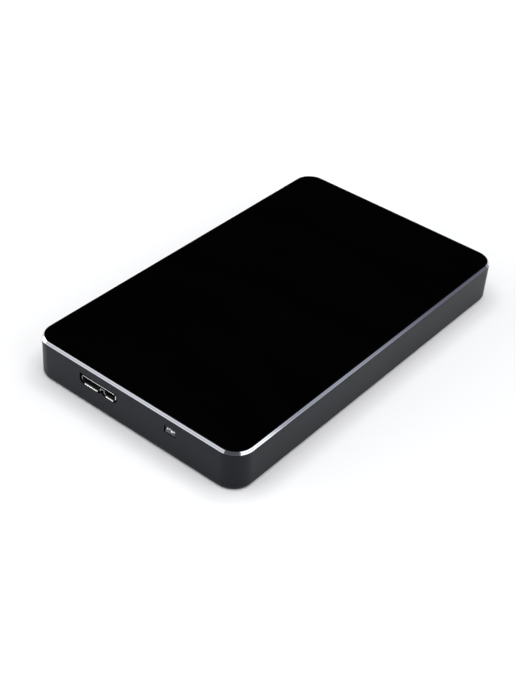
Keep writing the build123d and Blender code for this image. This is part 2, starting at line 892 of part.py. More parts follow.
# Chips between the controller board and the casting
chip_z = drive_bottom + drive_board_top
cache_y = drive_front + plug_depth + chip_gap + cache_width / 2
controller_y = cache_y + (cache_width + controller_size) / 2 + chip_gap
with BuildPart() as controller_chip:
    with Locations((-controller_size, controller_y, chip_z)):
        Box(controller_size, controller_size, chip_height, align=standing)

with BuildPart() as motor_driver:
    with Locations((driver_size, controller_y, chip_z)):
        Box(driver_size, driver_size, chip_height, align=standing)

with BuildPart() as cache_chip:
    with Locations((-controller_size, cache_y, chip_z)):
        Box(cache_length, cache_width, chip_height, align=standing)

# Cast housing of the drive: clean room above, board pocket and motor boss below
sleeve_radius = shaft_radius + shaft_run + sleeve_wall
pocket_length = drive_board_length + 2 * drive_board_gap
with BuildPart() as drive_base:
    with BuildSketch(Plane.XY.offset(drive_bottom)):
        drive_outline(0)
    extrude(amount=rim_top)
    with BuildSketch(Plane.XY.offset(drive_bottom + floor_top)):
        clean_room(0)
    extrude(amount=rim_top - floor_top, mode=Mode.SUBTRACT)
    with BuildSketch(Plane.XY.offset(drive_bottom)):
        with Locations((0, drive_front + pocket_length / 2)):
            Rectangle(drive_board_width + 2 * drive_board_gap, pocket_length)
    extrude(amount=web_bottom, mode=Mode.SUBTRACT)
    with BuildSketch(Plane.XY.offset(drive_bottom)):
        with Locations(spindle):
            Circle(well_radius - underside_rim)
            Circle(underside_ring, mode=Mode.SUBTRACT)
    extrude(amount=underside_depth, mode=Mode.SUBTRACT)
    with BuildSketch(Plane.XY.offset(drive_bottom)):
        with Locations((plug_x, drive_front + (plug_depth + plug_gap) / 2)):
            Rectangle(plug_width + 2 * plug_gap, plug_depth + plug_gap)
    extrude(amount=drive_board_top + plug_height + plug_gap, mode=Mode.SUBTRACT)
    with BuildSketch(Plane.XY.offset(drive_bottom + drive_board_top)):
        with Locations(*drive_posts):
            Circle(drive_post_radius)
    extrude(amount=chip_room)
    with BuildSketch(Plane.XY.offset(drive_bottom + drive_board_top)):
        with Locations(*drive_posts):
            Circle(drive_screw_radius + screw_clearance)
    extrude(amount=drive_screw_bite + screw_clearance, mode=Mode.SUBTRACT)
    with BuildSketch(Plane.XY.offset(drive_bottom + sleeve_foot)):
        with Locations(spindle):
            Circle(sleeve_radius)
    extrude(amount=floor_top - sleeve_foot, mode=Mode.SUBTRACT)
    with BuildSketch(Plane.XY.offset(drive_bottom + rim_top)):
        with Locations(*cover_screw_places()):
            Circle(cover_screw_radius + screw_clearance)
    extrude(amount=-cover_screw_length, mode=Mode.SUBTRACT)
    with BuildSketch(Plane.XY.offset(drive_bottom)):
        with Locations((0, drive_front + mount_front + mount_pitch / 2)):
            with GridLocations(mount_spread, mount_pitch, 2, 2):
                Circle(mount_hole_radius)
    extrude(amount=mount_hole_depth, mode=Mode.SUBTRACT)

# Seal on the rim of the clean room
with BuildPart() as drive_gasket:
    with BuildSketch(Plane.XY.offset(drive_bottom + rim_top)):
        clean_room(gasket_inset + gasket_width)
    extrude(amount=gasket_thickness)
    with BuildSketch(Plane.XY.offset(drive_bottom + rim_top)):
        clean_room(gasket_inset)
    extrude(amount=gasket_thickness, mode=Mode.SUBTRACT)

# Stamped cover of the drive, dished over the spindle and the pivot
with BuildPart() as drive_cover:
    with BuildSketch(Plane.XY.offset(drive_bottom + drive_cover_z)):
        drive_outline(cover_inset)
    extrude(amount=drive_cover_thickness)
    with BuildSketch(Plane.XY.offset(drive_top)):
        with Locations(spindle):
            Circle(platter_radius / 2)
        with Locations(pivot):
            Circle(arm_root_radius)
    extrude(amount=-cover_dish, mode=Mode.SUBTRACT)
    with Locations(*[(x, y, drive_top) for x, y in cover_screw_places()]):
        CounterBoreHole(
            radius=cover_screw_radius + screw_clearance,
            counter_bore_radius=cover_head_radius + screw_clearance,
            counter_bore_depth=cover_head_height,
        )

with BuildPart() as cover_screws:
    with Locations(*cover_screw_places()):
        small_screw(
            drive_top - cover_head_height,
            -1,
            cover_head_radius,
            cover_head_height,
            cover_screw_radius,
            cover_screw_length,
        )

# Filter that catches dust in the clean room
with BuildPart() as air_filter:
    filter_x = drive_width / 2 - drive_wall - filter_gap - filter_width / 2
    with Locations((filter_x, drive_front + filter_y, drive_bottom + floor_top)):
        Box(filter_width, filter_length, filter_height, align=standing)

# Spindle: the hub turns on a shaft that runs in a sleeve set in the casting
spindle_axis = Axis((0, spindle_y, 0), (0, 0, 1))
spindle_plane = Plane.XZ.offset(-spindle_y)
hub_radius = platter_hole - hub_fit
hub_bottom = drive_bottom + floor_top + hub_floor_gap
hub_top = drive_bottom + stack_top - clamp_preload
hub_roof_z = hub_top - hub_roof
cup_radius = hub_radius - hub_wall
platter_seat = drive_bottom + low_platter_z
with BuildPart() as spindle_hub:
    with BuildSketch(spindle_plane):
        with BuildLine():
            Polyline(
                (shaft_radius, hub_roof_z),
                (cup_radius, hub_roof_z),
                (cup_radius, hub_bottom),
                (hub_radius + hub_flange, hub_bottom),
                (hub_radius + hub_flange, platter_seat),
                (hub_radius, platter_seat),
                (hub_radius, hub_top),
                (shaft_radius, hub_top),
                close=True,
            )
        make_face()
    revolve(axis=spindle_axis)

sleeve_bottom = drive_bottom + sleeve_foot
sleeve_top = hub_roof_z - air_gap
with BuildPart() as bearing_sleeve:
    with BuildSketch(spindle_plane):
        with BuildLine():
            Polyline(
                (0, sleeve_bottom),
                (sleeve_radius, sleeve_bottom),
                (sleeve_radius, sleeve_top),
                (shaft_radius + shaft_run, sleeve_top),
                (shaft_radius + shaft_run, sleeve_bottom + shaft_end_gap),
                (0, sleeve_bottom + shaft_end_gap),
                close=True,
            )
        make_face()
    revolve(axis=spindle_axis)

shaft_bottom = sleeve_bottom + 2 * shaft_end_gap
with BuildPart() as spindle_shaft:
    with BuildSketch(Plane.XY.offset(shaft_bottom)):
        with Locations(spindle):
            Circle(shaft_radius)
    extrude(amount=hub_top - shaft_bottom)
    with BuildSketch(Plane.XY.offset(hub_top)):
        with Locations(spindle):
            Circle(clamp_screw_radius)
    extrude(amount=-clamp_screw_length, mode=Mode.SUBTRACT)

# Ring magnet of the spindle motor, inside the hub, and the toothed core that it turns about
magnet_inner = cup_radius - magnet_ring
stator_radius = magnet_inner - air_gap
stator_inner = sleeve_radius + hub_fit
with BuildPart() as rotor_magnet:
    with BuildSketch(Plane.XY.offset(hub_bottom)):
        with Locations(spindle):
            Circle(cup_radius)
            Circle(magnet_inner, mode=Mode.SUBTRACT)
    extrude(amount=magnet_ring_height)

with BuildPart() as motor_stator:
    with BuildSketch(Plane.XY.offset(drive_bottom + floor_top)):
        with Locations(spindle):
            Circle(stator_inner + stator_yoke)
            with PolarLocations((stator_inner + stator_radius) / 2, tooth_count):
                Rectangle(stator_radius - stator_inner, tooth_width)
            with PolarLocations(stator_radius - tooth_tip / 2, tooth_count):
                Rectangle(tooth_tip, 2 * stator_radius * sin(radians(tooth_tip_angle / 2)))
            Circle(stator_radius, mode=Mode.INTERSECT)
            Circle(stator_inner, mode=Mode.SUBTRACT)
    extrude(amount=stator_height)


# Flat ring on the spindle axis
def spindle_ring(bore, outer):
    with Locations(spindle):
        Circle(outer)
        Circle(bore, mode=Mode.SUBTRACT)


with BuildPart() as lower_platter:
    with BuildSketch(Plane.XY.offset(platter_seat)):
        spindle_ring(platter_hole, platter_radius)
    extrude(amount=platter_thickness)

with BuildPart() as platter_spacer:
    with BuildSketch(Plane.XY.offset(platter_seat + platter_thickness)):
        spindle_ring(platter_hole, hub_radius + hub_flange)
    extrude(amount=spacer_height)

with BuildPart() as upper_platter:
    with BuildSketch(Plane.XY.offset(drive_bottom + high_platter_z)):
        spindle_ring(platter_hole, platter_radius)
    extrude(amount=platter_thickness)

# Spring clamp on the upper platter, and the screw that draws it down
clamp_z = drive_bottom + stack_top
with BuildPart() as platter_clamp:
    with BuildSketch(Plane.XY.offset(clamp_z)):
        spindle_ring(clamp_screw_radius + clamp_bore_gap, platter_hole + clamp_overlap)
    extrude(amount=clamp_thickness)
    upper_rim = platter_clamp.edges().group_by(Axis.Z)[-1].sort_by(SortBy.RADIUS)[-1]
    chamfer(upper_rim, length=clamp_thickness / 2)

with BuildPart() as clamp_screw:
    with Locations(spindle):
        small_screw(
            clamp_z + clamp_thickness,
            -1,
            clamp_head_radius,
            clamp_head_height,
            clamp_screw_radius,
            clamp_screw_length,
        )

# Actuator: post and bearing, arms between the platters, and a fork that holds the voice coil
arm_top = high_arm_z + outer_arm
arm_levels = [(low_arm_z, outer_arm), (middle_arm_z, middle_arm), (high_arm_z, outer_arm)]
with BuildPart() as pivot_post:
    with Locations((pivot_x, pivot_y, drive_bottom + floor_top)):
        Cylinder(pivot_radius, drive_cover_z - pivot_head_gap - floor_top, align=standing)
        Cylinder(pivot_flange, bearing_lift / 2, align=standing)

with BuildPart() as pivot_bearing:
    with BuildSketch(Plane.XY.offset(drive_bottom + floor_top + bearing_lift)):
        with Locations(pivot):
            Circle(bearing_radius)
            Circle(bearing_bore, mode=Mode.SUBTRACT)
    extrude(amount=arm_top - floor_top - bearing_lift)

with BuildPart() as actuator_arm:
    with BuildSketch(Plane.XY.offset(drive_bottom + low_arm_z)):
        with Locations(pivot):
            Circle(arm_root_radius)
    extrude(amount=arm_top - low_arm_z)
    for level, thickness in arm_levels:
        with BuildSketch(Plane.XY.offset(drive_bottom + level)):
            with Locations(pivot):
                Circle(arm_root_radius)
            with Locations(from_pivot(arm_reach, park_angle)):
                Circle(arm_tip_radius)
            make_hull()
            with Locations(arm_point(first_arm_window, 0), arm_point(next_arm_window, 0)):
                Circle(arm_window_radius, mode=Mode.SUBTRACT)
        extrude(amount=thickness)
    fork_half = coil_half_angle + fork_angle
    with BuildSketch(Plane.XY.offset(drive_bottom + coil_z)):
        pivot_sector(
            bearing_radius,
            coil_outer - fork_short,
            coil_angle - fork_half,
            coil_angle + fork_half,
        )
        pivot_sector(
            coil_inner - fork_fit,
            coil_outer,
            coil_angle - coil_half_angle - fork_fit_angle,
            coil_angle + coil_half_angle + fork_fit_angle,
            mode=Mode.SUBTRACT,
        )
    extrude(amount=coil_thickness)
    with BuildSketch(Plane.XY.offset(drive_bottom + low_arm_z)):
        with Locations(pivot):
            Circle(bearing_radius)
    extrude(amount=arm_top - low_arm_z, mode=Mode.SUBTRACT)

# Wound voice coil in the fork
with BuildPart() as voice_coil:
    with BuildSketch(Plane.XY.offset(drive_bottom + coil_z)) as winding:
        pivot_sector(coil_inner, coil_outer, coil_angle - coil_half_angle, coil_angle + coil_half_angle)
        fillet(winding.vertices(), coil_corner)
        offset(amount=-coil_band, mode=Mode.SUBTRACT)
    extrude(amount=coil_thickness)

# Heads: a spring strip on each side of each platter, with a lift tab at its tip and a slider block
tab_start = arm_length + slider_length / 2
tab_end = tab_start + tab_length
suspension_levels = [
    low_arm_z + outer_arm,
    middle_arm_z - suspension_thickness,
    middle_arm_z + middle_arm,
    high_arm_z - suspension_thickness,
]
with BuildPart() as head_suspensions:
    for level in suspension_levels:
        with BuildSketch(Plane.XY.offset(drive_bottom + level)):
            with BuildLine():
                Polyline(
                    arm_point(arm_reach - suspension_overlap, -suspension_root / 2),
                    arm_point(tab_start, -suspension_tip / 2),
                    arm_point(tab_start, -tab_width / 2),
                    arm_point(tab_end, -tab_width / 2),
                    arm_point(tab_end, tab_width / 2),
                    arm_point(tab_start, tab_width / 2),
                    arm_point(tab_start, suspension_tip / 2),
                    arm_point(arm_reach - suspension_overlap, suspension_root / 2),
                    close=True,
                )
            make_face()
        extrude(amount=suspension_thickness)

slider_levels = [
    low_arm_z + outer_arm + suspension_thickness,
    middle_arm_z - suspension_thickness - slider_thickness,
    middle_arm_z + middle_arm + suspension_thickness,
    high_arm_z - suspension_thickness - slider_thickness,
]
with BuildPart() as head_sliders:
    for level in slider_levels:
        with BuildSketch(Plane.XY.offset(drive_bottom + level)):
            with BuildLine():
                Polyline(
                    arm_point(arm_length - slider_length / 2, -slider_width / 2),
                    arm_point(arm_length + slider_length / 2, -slider_width / 2),
                    arm_point(arm_length + slider_length / 2, slider_width / 2),
                    arm_point(arm_length - slider_length / 2, slider_width / 2),
                    close=True,
                )
            make_face()
        extrude(amount=slider_thickness)

# Voice coil motor: two steel plates with magnets, the upper one on legs
with BuildPart() as lower_yoke:
    with BuildSketch(Plane.XY.offset(drive_bottom + floor_top)):
        pivot_sector(yoke_inner, yoke_outer, yoke_start, yoke_end)
    extrude(amount=yoke_thickness)

with BuildPart() as lower_magnet:
    with BuildSketch(Plane.XY.offset(drive_bottom + floor_top + yoke_thickness)):
        pivot_sector(yoke_inner, coil_outer, yoke_start, yoke_end)
    extrude(amount=magnet_thickness)

with BuildPart() as upper_magnet:
    with BuildSketch(Plane.XY.offset(drive_bottom + upper_magnet_z)):
        pivot_sector(yoke_inner, coil_outer, yoke_start, yoke_end)
    extrude(amount=magnet_thickness)

upper_yoke_z = drive_bottom + upper_magnet_z + magnet_thickness
leg_foot = drive_bottom + floor_top + yoke_thickness
leg_lean = degrees((leg_radius + leg_edge) / leg_track)
with BuildPart() as upper_yoke:
    with BuildSketch(Plane.XY.offset(upper_yoke_z)):
        pivot_sector(yoke_inner, yoke_outer, yoke_start, yoke_end)
    extrude(amount=yoke_thickness)
    with BuildSketch(Plane.XY.offset(leg_foot)):
        with Locations(
            from_pivot(leg_track, yoke_start + leg_lean),
            from_pivot(leg_track, yoke_end - leg_lean),
        ):
            Circle(leg_radius)
    extrude(amount=upper_yoke_z - leg_foot)

# Load ramp beyond the platters' edge: a comb whose slots hold the lift tabs of the parked heads
ramp_inner = tab_start + ramp_entry
ramp_top = drive_cover_z - ramp_top_gap
with BuildPart() as load_ramp:
    ramp_start = park_angle + ramp_start_angle
    ramp_end = park_angle + ramp_end_angle
    with BuildSketch(Plane.XY.offset(drive_bottom + floor_top)):
        pivot_sector(ramp_inner, tab_end + ramp_back, ramp_start, ramp_end)
    extrude(amount=ramp_top - floor_top)
    for level in suspension_levels:
        with BuildSketch(Plane.XY.offset(drive_bottom + level - ramp_slot_gap)):
            pivot_sector(ramp_inner, tab_end + ramp_slot_gap, ramp_start, ramp_end)
        extrude(amount=suspension_thickness + 2 * ramp_slot_gap, mode=Mode.SUBTRACT)

pieces = {
    "case_frame": case_frame,
    "top_panel": top_panel,
    "panel_tape": panel_tape,
    "bottom_cover": bottom_cover,
    "rubber_feet": rubber_feet,
    "case_screws": case_screws,
    "left_rail": left_rail,
    "right_rail": right_rail,
    "rear_strip": rear_strip,
    "upper_foam": upper_foam,
    "lower_foam": lower_foam,
    "bridge_board": bridge_board,
    "board_screws": board_screws,
    "data_port_shell": data_port_shell,
    "data_port_insert": data_port_insert,
    "data_port_contacts": data_port_contacts,
    "light_guide": light_guide,
    "status_lamp": status_lamp,
    "bridge_chip": bridge_chip,
    "memory_chip": memory_chip,
    "crystal": crystal,
    "power_coil": power_coil,
    "capacitors": capacitors,
    "drive_socket": drive_socket,
    "drive_plug": drive_plug,
    "plug_contacts": plug_contacts,
    "drive_board": drive_board,
    "drive_board_screws": drive_board_screws,
    "controller_chip": controller_chip,
    "motor_driver": motor_driver,
    "cache_chip": cache_chip,
    "drive_base": drive_base,
    "drive_gasket": drive_gasket,
    "drive_cover": drive_cover,
    "cover_screws": cover_screws,
    "air_filter": air_filter,
    "bearing_sleeve": bearing_sleeve,
    "motor_stator": motor_stator,
    "spindle_shaft": spindle_shaft,
    "spindle_hub": spindle_hub,
    "rotor_magnet": rotor_magnet,
    "lower_platter": lower_platter,
    "platter_spacer": platter_spacer,
    "upper_platter": upper_platter,
    "platter_clamp": platter_clamp,
    "clamp_screw": clamp_screw,
    "pivot_post": pivot_post,
    "pivot_bearing": pivot_bearing,
    "actuator_arm": actuator_arm,
    "voice_coil": voice_coil,
    "head_suspensions": head_suspensions,
    "head_sliders": head_sliders,
    "lower_yoke": lower_yoke,
    "lower_magnet": lower_magnet,
    "upper_yoke": upper_yoke,
    "upper_magnet": upper_magnet,
    "load_ramp": load_ramp,
}
os.makedirs("parts", exist_ok=True)
for name, piece in pieces.items():
    piece.part.label = name
    export_step(piece.part, f"parts/{name}.step")

print(f"case {case_width:.2f} x {case_length:.2f} x {case_top:.2f}")
print(f"spindle axis at y {spindle_y:.3f}")
print(f"pivot axis at {pivot_x:.3f}, {pivot_y:.3f}, swing {swing:.2f} degrees")
print(f"foot at {boss_x:.3f}, {foot_y:.3f}, data port at {port_x:.3f}, {port_mouth:.3f}, {port_z:.3f}")
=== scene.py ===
from math import cos, radians, sin

import bmesh
import bpy
from mathutils import Matrix, Vector


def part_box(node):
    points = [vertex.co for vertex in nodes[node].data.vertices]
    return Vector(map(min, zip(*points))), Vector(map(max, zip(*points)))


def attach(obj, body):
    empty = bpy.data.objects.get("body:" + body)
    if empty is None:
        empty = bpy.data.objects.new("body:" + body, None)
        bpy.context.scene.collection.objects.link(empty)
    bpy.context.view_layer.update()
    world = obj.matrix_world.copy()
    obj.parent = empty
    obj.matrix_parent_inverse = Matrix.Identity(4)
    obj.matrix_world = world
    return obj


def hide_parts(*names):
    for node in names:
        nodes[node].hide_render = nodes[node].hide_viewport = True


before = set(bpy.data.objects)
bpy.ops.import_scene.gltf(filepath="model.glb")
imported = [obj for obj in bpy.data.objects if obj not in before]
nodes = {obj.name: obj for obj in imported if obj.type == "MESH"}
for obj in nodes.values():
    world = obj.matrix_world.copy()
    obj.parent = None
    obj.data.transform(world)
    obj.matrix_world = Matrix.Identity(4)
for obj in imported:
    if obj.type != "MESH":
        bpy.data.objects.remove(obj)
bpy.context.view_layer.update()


# Housing of the disk drive, die cast in aluminium in one piece. The seats of the cover, the motor and the
# pivot are machined afterwards, so the cast skin keeps a dull grain with lighter and darker patches.
def effect_group(name, inputs, outputs):
    group = bpy.data.node_groups.new(name, "ShaderNodeTree")
    for label, kind, value in inputs:
        socket = group.interface.new_socket(name=label, in_out="INPUT", socket_type=kind)
        socket.default_value = value
    for label in outputs:
        group.interface.new_socket(name=label, in_out="OUTPUT", socket_type="NodeSocketFloat")
    place = group.nodes.new("ShaderNodeTexCoord").outputs["Object"]
    settings = group.nodes.new("NodeGroupInput").outputs
    results = group.nodes.new("NodeGroupOutput").inputs
    return group, place, settings, results


def contrast(group, value, low, high, result):
    spread = group.nodes.new("ShaderNodeMapRange")
    spread.inputs["From Min"].default_value = low
    spread.inputs["From Max"].default_value = high
    group.links.new(value, spread.inputs["Value"])
    group.links.new(spread.outputs["Result"], result)


skin_grain, place, settings, results = effect_group(
    "skin_grain",
    [("Patches per metre", "NodeSocketFloat", 60.0), ("Grains per metre", "NodeSocketFloat", 4000.0)],
    ["Patches", "Grain"],
)
for label, result, detail, low, high in (
    ("Patches per metre", "Patches", 3.0, 0.3, 0.7),
    ("Grains per metre", "Grain", 2.0, 0.25, 0.75),
):
    speckle = skin_grain.nodes.new("ShaderNodeTexNoise")
    speckle.inputs["Detail"].default_value = detail
    skin_grain.links.new(place, speckle.inputs["Vector"])
    skin_grain.links.new(settings[label], speckle.inputs["Scale"])
    contrast(skin_grain, speckle.outputs["Fac"], low, high, results[result])


def finish(
    name, effect, settings, tone_by, tones, relief_by, roughness, relief, metallic=0.0, specular=0.5
):
    material = bpy.data.materials.new(name)
    material.use_nodes = True
    tree = material.node_tree
    shader = tree.nodes["Principled BSDF"]
    shader.inputs["Metallic"].default_value = metallic
    shader.inputs["Specular IOR Level"].default_value = specular
    marks = tree.nodes.new("ShaderNodeGroup")
    marks.node_tree = effect
    for label, value in settings.items():
        marks.inputs[label].default_value = value
    # A colour mix has its two colours at inputs 6 and 7 and its result at output 2
    tone = tree.nodes.new("ShaderNodeMix")
    tone.data_type = "RGBA"
    tone.inputs[6].default_value = (*tones[0], 1.0)
    tone.inputs[7].default_value = (*tones[1], 1.0)
    tree.links.new(marks.outputs[tone_by], tone.inputs[0])
    tree.links.new(tone.outputs[2], shader.inputs["Base Color"])
    polish = tree.nodes.new("ShaderNodeMapRange")
    polish.inputs["To Min"].default_value = roughness[0]
    polish.inputs["To Max"].default_value = roughness[1]
    tree.links.new(marks.outputs[relief_by], polish.inputs["Value"])
    tree.links.new(polish.outputs["Result"], shader.inputs["Roughness"])
    bump = tree.nodes.new("ShaderNodeBump")
    bump.inputs["Distance"].default_value = relief
    tree.links.new(marks.outputs[relief_by], bump.inputs["Height"])
    tree.links.new(bump.outputs["Normal"], shader.inputs["Normal"])
    return material


def dress(material, *names):
    for name in names:
        nodes[name].material_slots[0].material = material


cast_skin = finish(
    "cast_skin", skin_grain, {"Patches per metre": 90.0, "Grains per metre": 3500.0},
    "Patches", ((0.46, 0.46, 0.45), (0.62, 0.62, 0.61)), "Grain", (0.42, 0.62), 1.2e-5, metallic=1.0,
)
dress(cast_skin, "drive_base")


# Spindle of the drive: a turned hub with its spacer and clamp, in aluminium. The lathe leaves fine rings
# round the axis, so the rings are centred on the spindle.
turned_rings, place, settings, results = effect_group(
    "turned_rings",
    [("Centre", "NodeSocketVector", (0.0, 0.0, 0.0)), ("Rings per metre", "NodeSocketFloat", 3000.0)],
    ["Rings", "Bands"],
)
across = turned_rings.nodes.new("ShaderNodeVectorMath")
across.operation = "SUBTRACT"
turned_rings.links.new(place, across.inputs[0])
turned_rings.links.new(settings["Centre"], across.inputs[1])
flat = turned_rings.nodes.new("ShaderNodeVectorMath")
flat.operation = "MULTIPLY"
flat.inputs[1].default_value = (1.0, 1.0, 0.0)
turned_rings.links.new(across.outputs["Vector"], flat.inputs[0])
reach = turned_rings.nodes.new("ShaderNodeVectorMath")
reach.operation = "LENGTH"
turned_rings.links.new(flat.outputs["Vector"], reach.inputs[0])
for result, share in (("Rings", 1.0), ("Bands", 0.12)):
    pace = turned_rings.nodes.new("ShaderNodeMath")
    pace.operation = "MULTIPLY"
    pace.inputs[1].default_value = share
    turned_rings.links.new(settings["Rings per metre"], pace.inputs[0])
    groove = turned_rings.nodes.new("ShaderNodeTexNoise")
    groove.noise_dimensions = "1D"
    turned_rings.links.new(reach.outputs["Value"], groove.inputs["W"])
    turned_rings.links.new(pace.outputs["Value"], groove.inputs["Scale"])
    contrast(turned_rings, groove.outputs["Fac"], 0.3, 0.7, results[result])

hub_low, hub_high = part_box("spindle_hub")
spindle_centre = tuple((hub_low + hub_high) / 2)
turned_aluminium = finish(
    "turned_aluminium", turned_rings, {"Centre": spindle_centre, "Rings per metre": 6000.0},
    "Bands", ((0.58, 0.58, 0.57), (0.72, 0.72, 0.71)), "Rings", (0.18, 0.34), 4e-6, metallic=1.0,
)
dress(turned_aluminium, "spindle_hub", "platter_spacer", "platter_clamp")

# Platters: glass discs with a sputtered magnetic coating, lapped to a mirror. The coating has hardly any
# marks, only faint bands where the lap ran.
platter_coating = finish(
    "platter_coating", turned_rings, {"Centre": spindle_centre, "Rings per metre": 900.0},
    "Bands", ((0.66, 0.64, 0.62), (0.72, 0.70, 0.68)), "Rings", (0.03, 0.07), 2e-7, metallic=1.0,
)
dress(platter_coating, "lower_platter", "upper_platter")

# Motor under the hub: a ground shaft in a steel sleeve, a ring magnet in the hub, and a core stacked from
# thin steel sheets. Ground steel and sheet edges both show fine straight lines.
drawn_lines, place, settings, results = effect_group(
    "drawn_lines", [("Lines per metre", "NodeSocketVector", (60.0, 5000.0, 5000.0))], ["Lines", "Streaks"],
)
for result, share, low, high in (("Lines", 1.0, 0.28, 0.72), ("Streaks", 0.14, 0.35, 0.65)):
    pace = drawn_lines.nodes.new("ShaderNodeVectorMath")
    pace.operation = "SCALE"
    pace.inputs["Scale"].default_value = share
    drawn_lines.links.new(settings["Lines per metre"], pace.inputs[0])
    spread = drawn_lines.nodes.new("ShaderNodeVectorMath")
    spread.operation = "MULTIPLY"
    drawn_lines.links.new(place, spread.inputs[0])
    drawn_lines.links.new(pace.outputs["Vector"], spread.inputs[1])
    scratch = drawn_lines.nodes.new("ShaderNodeTexNoise")
    scratch.inputs["Scale"].default_value = 1.0
    scratch.inputs["Detail"].default_value = 3.0
    drawn_lines.links.new(spread.outputs["Vector"], scratch.inputs["Vector"])
    contrast(drawn_lines, scratch.outputs["Fac"], low, high, results[result])

ground_steel = finish(
    "ground_steel", drawn_lines, {"Lines per metre": (40.0, 40.0, 9000.0)},
    "Streaks", ((0.38, 0.38, 0.39), (0.52, 0.52, 0.53)), "Lines", (0.16, 0.3), 3e-6, metallic=1.0,
)
dress(ground_steel, "spindle_shaft", "bearing_sleeve", "pivot_post", "pivot_bearing")
sheet_stack = finish(
    "sheet_stack", drawn_lines, {"Lines per metre": (20.0, 20.0, 6000.0)},
    "Lines", ((0.16, 0.16, 0.17), (0.36, 0.36, 0.37)), "Lines", (0.35, 0.5), 1e-5, metallic=1.0,
)
dress(sheet_stack, "motor_stator")
nickel_plate = finish(
    "nickel_plate", skin_grain, {"Patches per metre": 140.0, "Grains per metre": 2500.0},
    "Patches", ((0.56, 0.54, 0.50), (0.66, 0.64, 0.60)), "Grain", (0.16, 0.3), 3e-6, metallic=1.0,
)
dress(nickel_plate, "rotor_magnet", "lower_magnet", "upper_magnet")


# Arm of the actuator, milled from an aluminium extrusion, with spring strips of stainless steel and small
# ceramic sliders at its tips. The coil of its motor is enamelled copper wire, wound in flat turns.
milled_arm = finish(
    "milled_arm", drawn_lines, {"Lines per metre": (2500.0, 120.0, 2500.0)},
    "Streaks", ((0.6, 0.6, 0.59), (0.74, 0.74, 0.73)), "Lines", (0.22, 0.36), 4e-6, metallic=1.0,
)
dress(milled_arm, "actuator_arm")
spring_strip = finish(
    "spring_strip", drawn_lines, {"Lines per metre": (80.0, 6000.0, 6000.0)},
    "Streaks", ((0.56, 0.55, 0.53), (0.68, 0.67, 0.65)), "Lines", (0.14, 0.26), 2e-6, metallic=1.0,
)
dress(spring_strip, "head_suspensions")
slider_ceramic = finish(
    "slider_ceramic", skin_grain, {"Patches per metre": 900.0, "Grains per metre": 9000.0},
    "Patches", ((0.03, 0.03, 0.032), (0.055, 0.055, 0.058)), "Grain", (0.2, 0.34), 2e-6,
)
dress(slider_ceramic, "head_sliders")
pivot_low, pivot_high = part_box("pivot_post")
pivot_centre = tuple((pivot_low + pivot_high) / 2)
copper_wire = finish(
    "copper_wire", turned_rings, {"Centre": pivot_centre, "Rings per metre": 7000.0},
    "Rings", ((0.36, 0.13, 0.05), (0.72, 0.34, 0.17)), "Rings", (0.24, 0.4), 2e-5, metallic=1.0,
)
dress(copper_wire, "voice_coil")

# Plates of the coil motor and the cover of the drive, stamped from steel sheet. Rolling leaves long streaks
# in the sheet, and the press leaves it slightly dull.
stamped_sheet = finish(
    "stamped_sheet", drawn_lines, {"Lines per metre": (2200.0, 25.0, 2200.0)},
    "Streaks", ((0.5, 0.5, 0.5), (0.64, 0.64, 0.63)), "Lines", (0.28, 0.44), 5e-6, metallic=1.0,
)
dress(stamped_sheet, "lower_yoke", "upper_yoke", "drive_cover")

# Load ramp and dust filter of the clean room. The ramp is moulded in pale slippery plastic, and the filter
# is a pad of matted fibres that drops into the corner of the casting.
ramp_plastic = finish(
    "ramp_plastic", skin_grain, {"Patches per metre": 400.0, "Grains per metre": 5000.0},
    "Patches", ((0.70, 0.67, 0.58), (0.78, 0.75, 0.67)), "Grain", (0.34, 0.48), 4e-6,
)
dress(ramp_plastic, "load_ramp")
filter_felt = finish(
    "filter_felt", drawn_lines, {"Lines per metre": (1800.0, 3600.0, 900.0)},
    "Lines", ((0.50, 0.50, 0.48), (0.76, 0.76, 0.74)), "Lines", (0.85, 0.97), 8e-5,
)
dress(filter_felt, "air_filter")

# Seal of the drive's cover, the side rails and the rear strip, in black rubber. Rubber that comes out of a
# ground mould has a dull, slightly blotchy skin.
black_rubber = finish(
    "black_rubber", skin_grain, {"Patches per metre": 220.0, "Grains per metre": 4200.0},
    "Patches", ((0.011, 0.011, 0.011), (0.024, 0.024, 0.024)), "Grain", (0.62, 0.8), 2e-5,
)
dress(black_rubber, "drive_gasket", "left_rail", "right_rail", "rear_strip")

# Screws of the cover, of the boards, of the case and of the platter clamp, cold headed and zinc plated. The
# plating is bright with a cloudy bluish cast.
zinc_plate = finish(
    "zinc_plate", skin_grain, {"Patches per metre": 800.0, "Grains per metre": 6000.0},
    "Patches", ((0.46, 0.48, 0.52), (0.62, 0.63, 0.65)), "Grain", (0.24, 0.4), 4e-6, metallic=1.0,
)
dress(zinc_plate, "cover_screws", "clamp_screw", "drive_board_screws", "board_screws", "case_screws")


